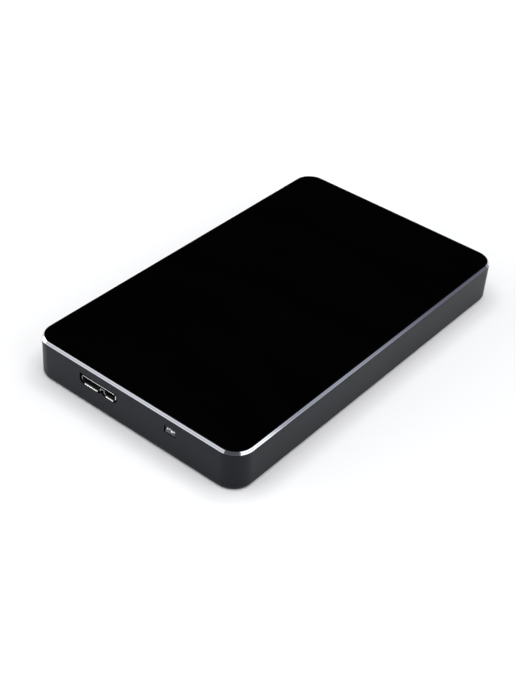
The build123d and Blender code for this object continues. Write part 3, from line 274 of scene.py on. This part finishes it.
# Controller board of the drive and the bridge board behind the port, in glass laminate under green solder
# mask. Copper tracks show through the mask as paler lines on a square grid.
def board_laminate(name, tracks_per_metre):
    laminate = finish(
        name, skin_grain, {"Patches per metre": 120.0, "Grains per metre": 5000.0},
        "Patches", ((0.008, 0.07, 0.03), (0.012, 0.095, 0.042)), "Grain", (0.22, 0.36), 5e-6,
    )
    tree = laminate.node_tree
    shader = tree.nodes["Principled BSDF"]
    spot = tree.nodes.new("ShaderNodeTexCoord")
    tracks = tree.nodes.new("ShaderNodeTexBrick")
    tracks.offset = 0.37
    tracks.squash = 1.6
    tracks.inputs["Scale"].default_value = tracks_per_metre
    tracks.inputs["Mortar Size"].default_value = 0.05
    tracks.inputs["Mortar Smooth"].default_value = 0.3
    tree.links.new(spot.outputs["Object"], tracks.inputs["Vector"])
    mask = shader.inputs["Base Color"].links[0].from_socket
    track_tone = (0.05, 0.19, 0.07, 1.0)
    layer = tree.nodes.new("ShaderNodeMix")
    layer.data_type = "RGBA"
    layer.inputs[7].default_value = track_tone
    tree.links.new(tracks.outputs["Fac"], layer.inputs[0])
    tree.links.new(mask, layer.inputs[6])
    tree.links.new(layer.outputs[2], shader.inputs["Base Color"])
    return laminate


dress(board_laminate("drive_laminate", 420.0), "drive_board")
dress(board_laminate("bridge_laminate", 520.0), "bridge_board")

# Chips and the power coil on both boards, in black moulded resin, the crystal in its drawn steel can and a
# row of fired ceramic capacitors. The resin is filled with glass powder, which gives it a dull speckle.
chip_resin = finish(
    "chip_resin", skin_grain, {"Patches per metre": 700.0, "Grains per metre": 9000.0},
    "Grain", ((0.012, 0.012, 0.012), (0.034, 0.034, 0.034)), "Grain", (0.48, 0.66), 6e-6,
)
dress(chip_resin, "controller_chip", "motor_driver", "cache_chip")
dress(chip_resin, "bridge_chip", "memory_chip", "power_coil")
can_steel = finish(
    "can_steel", drawn_lines, {"Lines per metre": (60.0, 5000.0, 5000.0)},
    "Streaks", ((0.62, 0.62, 0.62), (0.74, 0.74, 0.73)), "Lines", (0.16, 0.3), 2e-6, metallic=1.0,
)
dress(can_steel, "crystal")
capacitor_ceramic = finish(
    "capacitor_ceramic", skin_grain, {"Patches per metre": 500.0, "Grains per metre": 8000.0},
    "Patches", ((0.26, 0.17, 0.10), (0.36, 0.25, 0.16)), "Grain", (0.3, 0.44), 4e-6,
)
dress(capacitor_ceramic, "capacitors")

# Edge connector between the drive and the bridge board, in black glass-filled plastic. Both halves are
# moulded, they push together along the drive, and the blades carry gold-plated pads.
connector_plastic = finish(
    "connector_plastic", skin_grain, {"Patches per metre": 300.0, "Grains per metre": 6500.0},
    "Patches", ((0.009, 0.009, 0.009), (0.016, 0.016, 0.016)), "Grain", (0.36, 0.52), 5e-6,
)
dress(connector_plastic, "drive_plug", "drive_socket")
gold_plate = finish(
    "gold_plate", drawn_lines, {"Lines per metre": (4000.0, 90.0, 4000.0)},
    "Streaks", ((0.74, 0.52, 0.18), (0.88, 0.66, 0.28)), "Lines", (0.14, 0.26), 2e-6, metallic=1.0,
)
dress(gold_plate, "plug_contacts")

# Foam pads above and below the drive, which keep it from rattling in the case. They are cut from open-cell
# sheet, so the skin is all small pits.
foam_cells = finish(
    "foam_cells", skin_grain, {"Patches per metre": 250.0, "Grains per metre": 2600.0},
    "Grain", ((0.025, 0.025, 0.026), (0.11, 0.11, 0.115)), "Grain", (0.86, 0.98), 1.2e-4,
)
dress(foam_cells, "upper_foam", "lower_foam")


# Steel shell of the data port, folded from tin-plated strip round the moulding and soldered to the bridge
# board. Its mouth has cut lower corners and a web between its two parts, and its flats flare into lips. The
# plug burnishes the lips and one end to bright tin. The rest of the shell, inside and out, is painted
# shade, a near-black copy of the tin, and the web and the other end are a grey copy, partly wear and partly
# painted shade.
shell_low, shell_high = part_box("data_port_shell")
port_middle = (shell_low + shell_high) / 2
shell_wall = 0.0003
mouth_fillet = 0.00022
rim_ease = 0.00008
lip_reach = 0.00025
lip_flare = 0.0002
lip_ease = 0.0001
web_left = 0.0002
web_right = 0.0026
end_reach = 0.0064
end_half_height = 0.0005
tolerance = 1e-6
# Outlines are in millimetres across and up from their middle, and so are the ends of the lips, which lie
# on the upper side (1) or the lower side (-1) of the mouth
port_outline = [
    (-6.35, 1.05), (6.35, 1.05), (6.35, -0.35), (5.8, -1.05), (2.8, -1.05), (2.25, -0.35),
    (2.25, 0.35), (0.55, 0.35), (0.55, -0.35), (-0.4, -1.05), (-5.4, -1.05), (-6.35, -0.35),
]
lip_spans = ((-6.05, 6.05, 1), (-5.4, -0.4, -1), (2.8, 5.8, -1))


def upright_face(shape, outline, y, centre):
    corners = [shape.verts.new((centre.x + x / 1000, y, centre.z + z / 1000)) for x, z in outline]
    return shape.faces.new(corners)


def round_corners(shape, corners, radius, segments):
    bmesh.ops.bevel(
        shape, geom=corners, offset=radius, offset_type="OFFSET", segments=segments, profile=0.5,
        affect="VERTICES", material=-1, clamp_overlap=True,
    )


def ease_edges(shape, edges, width, segments):
    bmesh.ops.bevel(
        shape, geom=edges, offset=width, offset_type="OFFSET", segments=segments, profile=0.5,
        affect="EDGES", material=-1, clamp_overlap=True,
    )


def keep_piece(shape, name, body, sharp=12.0):
    bmesh.ops.remove_doubles(shape, verts=shape.verts[:], dist=1e-7)
    bmesh.ops.recalc_face_normals(shape, faces=shape.faces[:])
    for face in shape.faces:
        face.smooth = True
    for edge in shape.edges:
        edge.smooth = len(edge.link_faces) == 2 and edge.calc_face_angle() < radians(sharp)
    mesh = bpy.data.meshes.new(name)
    shape.to_mesh(mesh)
    shape.free()
    piece = bpy.data.objects.new(name, mesh)
    bpy.context.scene.collection.objects.link(piece)
    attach(piece, body)
    return piece


mouth_y = shell_low.y + lip_reach
shell = bmesh.new()
mouth = upright_face(shell, port_outline, mouth_y, port_middle)
round_corners(shell, list(mouth.verts), mouth_fillet, 4)
rim = shell.edges[:]
bmesh.ops.delete(shell, geom=shell.faces[:], context="FACES_ONLY")
tube = bmesh.ops.extrude_edge_only(shell, edges=rim)
far_end = [part for part in tube["geom"] if isinstance(part, bmesh.types.BMVert)]
bmesh.ops.translate(shell, vec=(0, shell_high.y - mouth_y, 0), verts=far_end)
bmesh.ops.recalc_face_normals(shell, faces=shell.faces[:])
bmesh.ops.solidify(shell, geom=shell.faces[:], thickness=-shell_wall)
# Slots: 0 bright tin, 1 a near-black copy that is painted shade, 2 a grey copy, partly wear, partly painted
# shade
burnished = 0
dull_and_shaded = 1
worn_and_shaded = 2
for face in shell.faces:
    offset = face.calc_center_median() - port_middle
    at_web = web_left < offset.x < web_right
    at_end = abs(offset.x) > end_reach and abs(offset.z) < end_half_height
    face.material_index = dull_and_shaded
    if abs(face.normal.y) > 0.5 and (at_web or at_end):
        face.material_index = burnished if offset.x > end_reach else worn_and_shaded
mouth_edges = [e for e in shell.edges if all(abs(v.co.y - mouth_y) < tolerance for v in e.verts)]
rim_edges = [e for e in mouth_edges if any(abs(f.normal.y) < 0.5 for f in e.link_faces)]
ease_edges(shell, rim_edges, rim_ease, 2)
half_height = port_outline[0][1] / 1000
lip_root = mouth_y + lip_reach / 5
lip_profile = [
    (lip_root, half_height),
    (lip_root, half_height + shell_wall),
    (shell_low.y, half_height + shell_wall + lip_flare),
    (shell_low.y, half_height + lip_flare),
]
for left, right, side in lip_spans:
    lip_end = [
        shell.verts.new((port_middle.x + left / 1000, y, port_middle.z + side * z)) for y, z in lip_profile
    ]
    strip = bmesh.ops.extrude_face_region(shell, geom=[shell.faces.new(lip_end)])
    lip_far = [part for part in strip["geom"] if isinstance(part, bmesh.types.BMVert)]
    bmesh.ops.translate(shell, vec=((right - left) / 1000, 0, 0), verts=lip_far)
    lip_verts = lip_end + lip_far
    tip_verts = [v for v in lip_verts if v.co.y < shell_low.y + tolerance]
    tip_edges = {e for v in tip_verts for e in v.link_edges if e.other_vert(v) in tip_verts}
    ease_edges(shell, list(tip_edges), lip_ease, 3)
port_shell = keep_piece(shell, "port_shell", "case", sharp=35.0)
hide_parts("data_port_shell")
tin_lines = {"Lines per metre": (70.0, 3500.0, 3500.0)}
tin_plate = finish(
    "tin_plate", drawn_lines, tin_lines,
    "Streaks", ((0.72, 0.72, 0.71), (0.86, 0.86, 0.85)), "Lines", (0.14, 0.26), 2e-6, metallic=1.0,
)
# Painted shade: the same tin made near black, for the inside and outside of the shell and most of its rim
painted_shade_tin = finish(
    "painted_shade_tin", drawn_lines, tin_lines,
    "Streaks", ((0.006, 0.006, 0.006), (0.010, 0.010, 0.010)), "Lines", (0.7, 0.85), 2e-6, specular=0.15,
)
# Grey copy of the tin for the web and one end: partly wear from the plug, partly painted shade
worn_and_shaded_tin = finish(
    "worn_and_shaded_tin", drawn_lines, tin_lines,
    "Streaks", ((0.24, 0.24, 0.24), (0.34, 0.34, 0.34)), "Lines", (0.3, 0.45), 2e-6, metallic=1.0,
)
for material in (tin_plate, painted_shade_tin, worn_and_shaded_tin):
    port_shell.data.materials.append(material)

# Moulding inside the data port: a back block with one flat tongue for each part of the mouth. The spring
# contacts lie in the underside of the tongues and are gold plated.
insert_low, insert_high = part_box("data_port_insert")
tongue_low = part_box("data_port_contacts")[1].z
tongue_thickness = 0.0006
tongue_ease = 0.00015
block_depth = 0.0019
# Each tongue: its middle, across from the middle of the mouth, and its width
tongues = ((-0.0029, 0.0052), (0.0043, 0.00325))
moulding = bmesh.new()
back_face = upright_face(moulding, port_outline, insert_high.y, port_middle)
block = bmesh.ops.extrude_face_region(moulding, geom=[back_face])
front_of_block = [part for part in block["geom"] if isinstance(part, bmesh.types.BMVert)]
bmesh.ops.translate(moulding, vec=(0, -block_depth, 0), verts=front_of_block)
tongue_reach = insert_high.y - block_depth - insert_low.y
for middle, width in tongues:
    tongue = bmesh.ops.create_cube(moulding, size=1.0)
    bmesh.ops.scale(moulding, vec=(width, tongue_reach, tongue_thickness), verts=tongue["verts"])
    lift = (
        port_middle.x + middle,
        insert_low.y + tongue_reach / 2,
        tongue_low + tongue_thickness / 2,
    )
    bmesh.ops.translate(moulding, vec=lift, verts=tongue["verts"])
    nose_verts = [v for v in tongue["verts"] if v.co.y < insert_low.y + tolerance]
    nose_edges = {e for v in nose_verts for e in v.link_edges if e.other_vert(v) in nose_verts}
    ease_edges(moulding, list(nose_edges), tongue_ease, 3)
port_insert = keep_piece(moulding, "port_insert", "case", sharp=35.0)
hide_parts("data_port_insert")
port_insert.data.materials.append(connector_plastic)
dress(gold_plate, "data_port_contacts")


# Status lamp and its light guide. The lamp is a small white diode on the bridge board, and the guide is a
# clear moulding whose nose fills the window in the frame. Four small beads on its face spread the light;
# their glints are painted highlights, white spots on a face painted near black as shade in the window.
lamp_resin = finish(
    "lamp_resin", skin_grain, {"Patches per metre": 900.0, "Grains per metre": 7000.0},
    "Patches", ((0.74, 0.74, 0.68), (0.84, 0.84, 0.78)), "Grain", (0.22, 0.36), 3e-6,
)
dress(lamp_resin, "status_lamp")
guide_low, guide_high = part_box("light_guide")
guide_shoulder = 0.0006
window_width = 0.00415
window_height = 0.00245
nose_gap = 0.00012
brow_gap = 0.0003
nose_length = 0.0014
nose_slope = 0.0003
nose_ease = 0.00015
window_x = (guide_low.x + guide_high.x) / 2
window_z = guide_high.z - guide_shoulder - window_height / 2
nose_wide = window_width / 2 - brow_gap
nose_foot = window_z - window_height / 2 + nose_gap
nose_brow = window_z + window_height / 2 - brow_gap
body_wide = (guide_high.x - guide_low.x) / 2
shoulder_y = guide_low.y + nose_length
guide = bmesh.new()
guide_rings = []
for y, wide, low, high in (
    (guide_high.y, body_wide, guide_low.z, guide_high.z),
    (shoulder_y, body_wide, guide_low.z, guide_high.z),
    (shoulder_y, nose_wide, nose_foot, nose_brow),
    (guide_low.y, nose_wide, nose_foot, nose_brow),
):
    corners = ((-wide, low), (wide, low), (wide, high), (-wide, high))
    guide_rings.append([guide.verts.new((window_x + x, y, z)) for x, z in corners])
for corner in guide_rings[-1][:2]:
    corner.co.y -= nose_slope
for rear, fore in zip(guide_rings, guide_rings[1:]):
    for number in range(4):
        guide.faces.new((rear[number - 1], rear[number], fore[number], fore[number - 1]))
guide.faces.new(guide_rings[0])
guide_face = guide.faces.new(guide_rings[-1])
ease_edges(guide, list(guide_face.edges), nose_ease, 3)
# Each bead: millimetres across and up from the middle of the window, and the radius of its painted glint
prism_beads = ((-0.95, 0.30, 0.42), (-0.20, 0.52, 0.34), (0.52, 0.16, 0.58), (1.33, 0.34, 0.40))
bead_share = 0.75
bead_proud = 0.00014
for bead_across, bead_up, painted_glint_radius in prism_beads:
    bead = bmesh.ops.create_icosphere(guide, subdivisions=3, radius=1.0)
    bead_radius = bead_share * painted_glint_radius / 1000
    bmesh.ops.scale(guide, vec=(bead_radius, bead_proud, bead_radius), verts=bead["verts"])
    bead_x = window_x + bead_across / 1000
    bead_z = window_z + bead_up / 1000
    lean = nose_slope * (nose_brow - bead_z) / (nose_brow - nose_foot)
    bmesh.ops.translate(guide, vec=(bead_x, guide_low.y - lean, bead_z), verts=bead["verts"])
light_guide = keep_piece(guide, "light_guide_prism", "case", sharp=35.0)
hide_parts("light_guide")
# The glints are painted highlights: white round spots at the beads, fading out at each painted glint radius
painted_glints, place, settings, results = effect_group(
    "painted_glints", [("Window centre", "NodeSocketVector", (0.0, 0.0, 0.0))], ["Painted glints"],
)
on_face = painted_glints.nodes.new("ShaderNodeVectorMath")
on_face.operation = "MULTIPLY"
on_face.inputs[1].default_value = (1.0, 0.0, 1.0)
painted_glints.links.new(place, on_face.inputs[0])
brightest = None
for bead_across, bead_up, painted_glint_radius in prism_beads:
    tip = painted_glints.nodes.new("ShaderNodeVectorMath")
    tip.inputs[1].default_value = (bead_across / 1000, 0.0, bead_up / 1000)
    painted_glints.links.new(settings["Window centre"], tip.inputs[0])
    gap = painted_glints.nodes.new("ShaderNodeVectorMath")
    gap.operation = "DISTANCE"
    painted_glints.links.new(on_face.outputs["Vector"], gap.inputs[0])
    painted_glints.links.new(tip.outputs["Vector"], gap.inputs[1])
    strongest = painted_glints.nodes.new("ShaderNodeMath")
    strongest.operation = "MAXIMUM"
    strongest.inputs[1].default_value = 0.0
    fade_out = painted_glint_radius / 1000
    contrast(painted_glints, gap.outputs["Value"], fade_out, fade_out / 4, strongest.inputs[0])
    if brightest:
        painted_glints.links.new(brightest, strongest.inputs[1])
    brightest = strongest.outputs["Value"]
painted_glints.links.new(brightest, results["Painted glints"])
# Painted shade and painted highlights: near black over the face, white at the painted glints
painted_glint_face = finish(
    "painted_glint_face", painted_glints, {"Window centre": (window_x, 0.0, window_z)},
    "Painted glints", ((0.035, 0.035, 0.037), (0.92, 0.92, 0.94)), "Painted glints", (0.2, 0.1), 2e-5,
)
light_guide.data.materials.append(painted_glint_face)

# Bottom cover of the case, moulded in black plastic from a spark-eroded tool. It closes the frame from
# below with a lip, two screws and two hooks.
cover_plastic = finish(
    "cover_plastic", skin_grain, {"Patches per metre": 60.0, "Grains per metre": 2800.0},
    "Patches", ((0.015, 0.015, 0.016), (0.022, 0.022, 0.023)), "Grain", (0.5, 0.7), 2.5e-5,
)
dress(cover_plastic, "bottom_cover")

# Four round feet of soft rubber, stuck into shallow recesses of the cover. They are die cut from moulded
# sheet, so the lower edge is rounded and the face is dull.
feet_low, feet_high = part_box("rubber_feet")
foot_radius = 0.004
sole_ease = 0.0002
foot_height = feet_high.z - feet_low.z
feet = bmesh.new()
for side in (feet_low.x + foot_radius, feet_high.x - foot_radius):
    for end in (feet_low.y + foot_radius, feet_high.y - foot_radius):
        foot = bmesh.ops.create_cone(
            feet, cap_ends=True, cap_tris=False, segments=72, radius1=foot_radius, radius2=foot_radius,
            depth=foot_height,
        )
        bmesh.ops.translate(feet, vec=(side, end, feet_low.z + foot_height / 2), verts=foot["verts"])
sole_edges = [e for e in feet.edges if all(v.co.z < feet_low.z + tolerance for v in e.verts)]
ease_edges(feet, sole_edges, sole_ease, 4)
soft_feet = keep_piece(feet, "soft_feet", "case", sharp=35.0)
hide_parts("rubber_feet")
soft_feet.data.materials.append(black_rubber)

# Frame of the case, cut from an aluminium extrusion, bead blasted and anodised dark grey. After anodising a
# diamond tool cuts the upper edge in two passes, which bares bright metal all round the panel, with a fine
# dark groove between the passes.
frame_low, frame_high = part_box("case_frame")
corner_radius = 0.00635
frame_wall = 0.0015
edge_across = 0.00062
edge_down = 0.0008
land = 0.00012
panel_thickness = 0.0012
tape_thickness = 0.00015
ledge_thickness = 0.001
ledge_inset = 0.0027
ledge_top = frame_high.z - panel_thickness - tape_thickness
ledge_bottom = ledge_top - ledge_thickness
burr = 0.00005
draft = 0.00002
groove_place = 0.52
groove_width = 0.08
groove_depth = 0.00004
anodised_grey = finish(
    "anodised_grey", skin_grain, {"Patches per metre": 35.0, "Grains per metre": 5200.0},
    "Patches", ((0.0194, 0.0207, 0.0246), (0.0218, 0.0233, 0.0276)),
    "Grain", (0.40, 0.48), 6e-6, metallic=1.0,
)
bright_cut = finish(
    "bright_cut", drawn_lines, {"Lines per metre": (30.0, 30.0, 7000.0)},
    "Streaks", ((0.82, 0.82, 0.85), (0.90, 0.90, 0.93)), "Lines", (0.05, 0.09), 8e-7, metallic=1.0,
)


def on_cut_edge(share, depth):
    return edge_across * share + depth, frame_high.z - edge_down * (1 - share) - depth / 2


def rounded_face(shape, low, high, inset, z, radius):
    sheet = bmesh.ops.create_grid(shape, x_segments=1, y_segments=1, size=0.5)
    size = (high.x - low.x - 2 * inset, high.y - low.y - 2 * inset, 1.0)
    bmesh.ops.scale(shape, vec=size, verts=sheet["verts"])
    bmesh.ops.translate(shape, vec=((low.x + high.x) / 2, (low.y + high.y) / 2, z), verts=sheet["verts"])
    before = set(shape.verts) - set(sheet["verts"])
    round_corners(shape, sheet["verts"], radius - inset, 24)
    corner = next(v for v in shape.verts if v not in before)
    return corner.link_faces[0]


section = [
    (frame_wall, frame_low.z + draft),
    (2 * burr, frame_low.z),
    (0.0, frame_low.z + 2 * burr),
    (0.0, frame_high.z - edge_down - burr),
    (burr / 2, frame_high.z - edge_down + burr),
    on_cut_edge(groove_place - groove_width / 2, 0.0),
    on_cut_edge(groove_place, groove_depth),
    on_cut_edge(groove_place + groove_width / 2, 0.0),
    (edge_across - burr / 2, frame_high.z - burr),
    (edge_across + burr / 2, frame_high.z),
    (edge_across + land, frame_high.z - draft),
    (edge_across + land, ledge_top),
    (ledge_inset, ledge_top - draft),
    (ledge_inset, ledge_bottom),
    (frame_wall, ledge_bottom + draft),
]
# Bands of the section that the tool bares, each counted by the point where it ends
bright_bands = (5, 8, 9, 10)
ring = bmesh.new()
loops = []
for inset, z in section:
    face = rounded_face(ring, frame_low, frame_high, inset, z, corner_radius)
    loops.append(list(face.edges))
    bmesh.ops.delete(ring, geom=[face], context="FACES_ONLY")
bright_faces = []
for number, loop in enumerate(loops):
    band = bmesh.ops.bridge_loops(ring, edges=loops[number - 1] + loop)
    if number in bright_bands:
        bright_faces += band["faces"]
for face in bright_faces:
    face.material_index = 1
bmesh.ops.recalc_face_normals(ring, faces=ring.faces[:])
solid_mesh = bpy.data.meshes.new("frame_blank")
ring.to_mesh(solid_mesh)
ring.free()
for material in (anodised_grey, bright_cut):
    solid_mesh.materials.append(material)
blank = bpy.data.objects.new("frame_blank", solid_mesh)
bpy.context.scene.collection.objects.link(blank)

# Openings that a mill cuts through the front wall of the frame: one round the data port, with room for the
# shell, and a small one for the light guide.
opening_outline = [
    (-7.25, 1.95), (7.25, 1.95), (7.25, -0.66), (6.46, -1.66), (2.15, -1.66), (1.4, -0.65), (0.22, -1.66),
    (-6.08, -1.66), (-7.25, -0.8),
]
opening_fillet = 0.0006
half_wide = window_width * 1000 / 2
half_tall = window_height * 1000 / 2
window_outline = [
    (-half_wide, half_tall), (half_wide, half_tall), (half_wide, -half_tall), (-half_wide, -half_tall),
]
window_fillet = 0.00025
window_middle = Vector((window_x, 0, window_z))
run_in = 0.001
run_out = 0.0005
mill = bmesh.new()
for outline, centre, radius in (
    (opening_outline, port_middle, opening_fillet),
    (window_outline, window_middle, window_fillet),
):
    face = upright_face(mill, outline, frame_low.y - run_in, centre)
    before = set(mill.faces) - {face}
    round_corners(mill, list(face.verts), radius, 5)
    cut_face = next(f for f in mill.faces if f not in before)
    sweep = bmesh.ops.extrude_face_region(mill, geom=[cut_face])
    end_verts = [part for part in sweep["geom"] if isinstance(part, bmesh.types.BMVert)]
    bmesh.ops.translate(mill, vec=(0, run_in + frame_wall + run_out, 0), verts=end_verts)
bmesh.ops.recalc_face_normals(mill, faces=mill.faces[:])
mill_mesh = bpy.data.meshes.new("mill_cutter")
mill.to_mesh(mill_mesh)
mill.free()
cutter = bpy.data.objects.new("mill_cutter", mill_mesh)
bpy.context.scene.collection.objects.link(cutter)
milling = blank.modifiers.new("milled_openings", "BOOLEAN")
milling.operation = "DIFFERENCE"
milling.solver = "EXACT"
milling.object = cutter
cut_mesh = bpy.data.meshes.new_from_object(blank.evaluated_get(bpy.context.evaluated_depsgraph_get()))
milled = bmesh.new()
milled.from_mesh(cut_mesh)
bpy.data.objects.remove(cutter)
bpy.data.objects.remove(blank)
metal_frame = keep_piece(milled, "metal_frame", "case", sharp=5.0)
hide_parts("case_frame")
for material in (anodised_grey, bright_cut):
    metal_frame.data.materials.append(material)

# Ring of double-sided tape on the ledge of the frame, which holds the panel. It is die cut, and its carrier
# is thin black foam.
tape_foam = finish(
    "tape_foam", skin_grain, {"Patches per metre": 300.0, "Grains per metre": 5000.0},
    "Grain", ((0.012, 0.012, 0.012), (0.03, 0.03, 0.03)), "Grain", (0.7, 0.85), 2e-5,
)
dress(tape_foam, "panel_tape")

# Top panel, cut from black acrylic sheet and polished, stuck flush inside the bright edge of the frame. Its
# face is bare, with only the faint wipe marks that a gloss sheet picks up.
panel_low, panel_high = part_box("top_panel")
panel_inset = panel_low.x - frame_low.x
panel_ease = 0.00008
panel = bmesh.new()
underside = rounded_face(panel, panel_low, panel_high, 0.0, panel_low.z, corner_radius - panel_inset)
lifted = bmesh.ops.extrude_face_region(panel, geom=[underside])
upper_verts = [part for part in lifted["geom"] if isinstance(part, bmesh.types.BMVert)]
bmesh.ops.translate(panel, vec=(0, 0, panel_high.z - panel_low.z), verts=upper_verts)
upper_edges = [e for e in panel.edges if all(v.co.z > panel_high.z - tolerance for v in e.verts)]
ease_edges(panel, upper_edges, panel_ease, 3)
gloss_panel = keep_piece(panel, "gloss_panel", "case", sharp=8.0)
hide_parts("top_panel")
black_gloss = finish(
    "black_gloss", drawn_lines, {"Lines per metre": (140.0, 420.0, 60.0)},
    "Streaks", ((0.0003, 0.0003, 0.0003), (0.0007, 0.0007, 0.0007)),
    "Streaks", (0.05, 0.08), 2e-7, specular=0.25,
)
gloss_panel.data.materials.append(black_gloss)

# Table top under the drive: one plain matt white sheet. It is far wider than the drive, so that its edge
# lies near the horizon.
table_reach = 12.0
table = bmesh.new()
bmesh.ops.create_grid(table, x_segments=1, y_segments=1, size=table_reach)
table_mesh = bpy.data.meshes.new("table_top")
table.to_mesh(table_mesh)
table.free()
table_top = bpy.data.objects.new("table_top", table_mesh)
bpy.context.scene.collection.objects.link(table_top)
white_sheet = finish(
    "white_sheet", skin_grain, {"Patches per metre": 6.0, "Grains per metre": 900.0},
    "Patches", ((0.93, 0.93, 0.93), (0.95, 0.95, 0.95)), "Grain", (0.8, 0.9), 1e-6, specular=0.1,
)
table_top.data.materials.append(white_sheet)

# Studio light in a dark room: a wide soft lamp overhead with a ring of light round it, and a soft box on
# each side of the table, with a brighter strip low down and, on the right, a dim rim. A faint box stands in
# front, and a small one behind has a faint strip below it. The bright edge mirrors them in turn.
overhead = bpy.data.lights.new("overhead", "SUN")
overhead.angle = radians(66)
overhead.energy = 1.0
overhead_lamp = bpy.data.objects.new("overhead", overhead)
bpy.context.scene.collection.objects.link(overhead_lamp)

room = bpy.data.worlds.new("room")
bpy.context.scene.world = room
room.use_nodes = True
air = room.node_tree
room_tone = (0.006, 0.006, 0.007, 1.0)
box_fade = 10.0
# Each box: its bearing from the port end, the half widths where it is full and where it has faded, and the
# lowest and highest place where it is full, all in degrees, and its colour
soft_boxes = (
    (-58.0, 46.5, 50.0, -20.0, 36.0, (0.755, 0.775, 0.82)),
    (-48.0, 30.0, 38.0, -20.0, 7.0, (7.5, 7.4, 7.4)),
    (99.0, 28.8, 30.0, -20.0, 42.0, (1.13, 1.13, 1.13)),
    (100.0, 31.5, 40.0, -20.0, 42.0, (0.30, 0.325, 0.365)),
    (92.0, 24.0, 32.0, -20.0, 5.0, (1.6, 1.8, 2.1)),
    (27.0, 33.0, 40.0, 10.0, 52.0, (0.09, 0.09, 0.105)),
    (165.0, 30.0, 40.0, -20.0, 14.0, (0.15, 0.15, 0.20)),
    (170.0, 15.0, 22.0, 12.0, 48.0, (1.0, 1.0, 1.0)),
    (180.0, 179.0, 180.0, 62.0, 66.0, (2.35, 2.35, 2.35)),
)


def soft_step(value, start, end):
    step = air.nodes.new("ShaderNodeMapRange")
    step.interpolation_type = "SMOOTHSTEP"
    step.inputs["From Min"].default_value = min(start, end)
    step.inputs["From Max"].default_value = max(start, end)
    step.inputs["To Min"].default_value = 0.0 if start < end else 1.0
    step.inputs["To Max"].default_value = 1.0 if start < end else 0.0
    air.links.new(value, step.inputs["Value"])
    return step.outputs["Result"]


def product(first, second):
    times = air.nodes.new("ShaderNodeMath")
    times.operation = "MULTIPLY"
    air.links.new(first, times.inputs[0])
    air.links.new(second, times.inputs[1])
    return times.outputs["Value"]


heading = air.nodes.new("ShaderNodeTexCoord").outputs["Generated"]
height = air.nodes.new("ShaderNodeSeparateXYZ")
air.links.new(heading, height.inputs[0])
level = air.nodes.new("ShaderNodeVectorMath")
level.operation = "MULTIPLY"
level.inputs[1].default_value = (1.0, 1.0, 0.0)
air.links.new(heading, level.inputs[0])
bearings = air.nodes.new("ShaderNodeVectorMath")
bearings.operation = "NORMALIZE"
air.links.new(level.outputs["Vector"], bearings.inputs[0])
glow = None
for bearing, full, faded, low, top, colour in soft_boxes:
    above = soft_step(height.outputs["Z"], sin(radians(low - box_fade)), sin(radians(low)))
    below = soft_step(height.outputs["Z"], sin(radians(top + box_fade)), sin(radians(top)))
    facing = air.nodes.new("ShaderNodeVectorMath")
    facing.operation = "DOT_PRODUCT"
    facing.inputs[1].default_value = (sin(radians(bearing)), -cos(radians(bearing)), 0.0)
    air.links.new(bearings.outputs["Vector"], facing.inputs[0])
    between = soft_step(facing.outputs["Value"], cos(radians(faded)), cos(radians(full)))
    lit = air.nodes.new("ShaderNodeMix")
    lit.data_type = "RGBA"
    lit.blend_type = "ADD"
    lit.inputs[6].default_value = room_tone
    lit.inputs[7].default_value = (*colour, 1.0)
    air.links.new(product(between, product(above, below)), lit.inputs[0])
    if glow:
        air.links.new(glow, lit.inputs[6])
    glow = lit.outputs[2]
air.links.new(glow, air.nodes["Background"].inputs["Color"])

# Camera at the photograph's place: above the front right corner, a little turned about its own axis. Its
# lens is a short telephoto, as for a product shot.
turn = radians(36.70)
rise = radians(37.90)
roll = radians(4.46)
distance = 0.3965
target = Vector((0.001124, -0.009724, 0.0004))
towards = Vector((sin(turn) * cos(rise), -cos(turn) * cos(rise), sin(rise)))
level_right = Vector((cos(turn), sin(turn), 0.0))
level_up = towards.cross(level_right)
screen_right = level_right * cos(roll) + level_up * sin(roll)
screen_up = level_up * cos(roll) - level_right * sin(roll)
lens = bpy.data.cameras.new("camera")
lens.sensor_width = 36.0
lens.lens = 68.21
lens.clip_start = 0.01
camera = bpy.data.objects.new("camera", lens)
bpy.context.scene.collection.objects.link(camera)
aim = Matrix((screen_right, screen_up, towards)).transposed().to_4x4()
camera.matrix_world = Matrix.Translation(target + towards * distance) @ aim
bpy.context.scene.camera = camera
bpy.context.scene.view_settings.view_transform = "Standard"
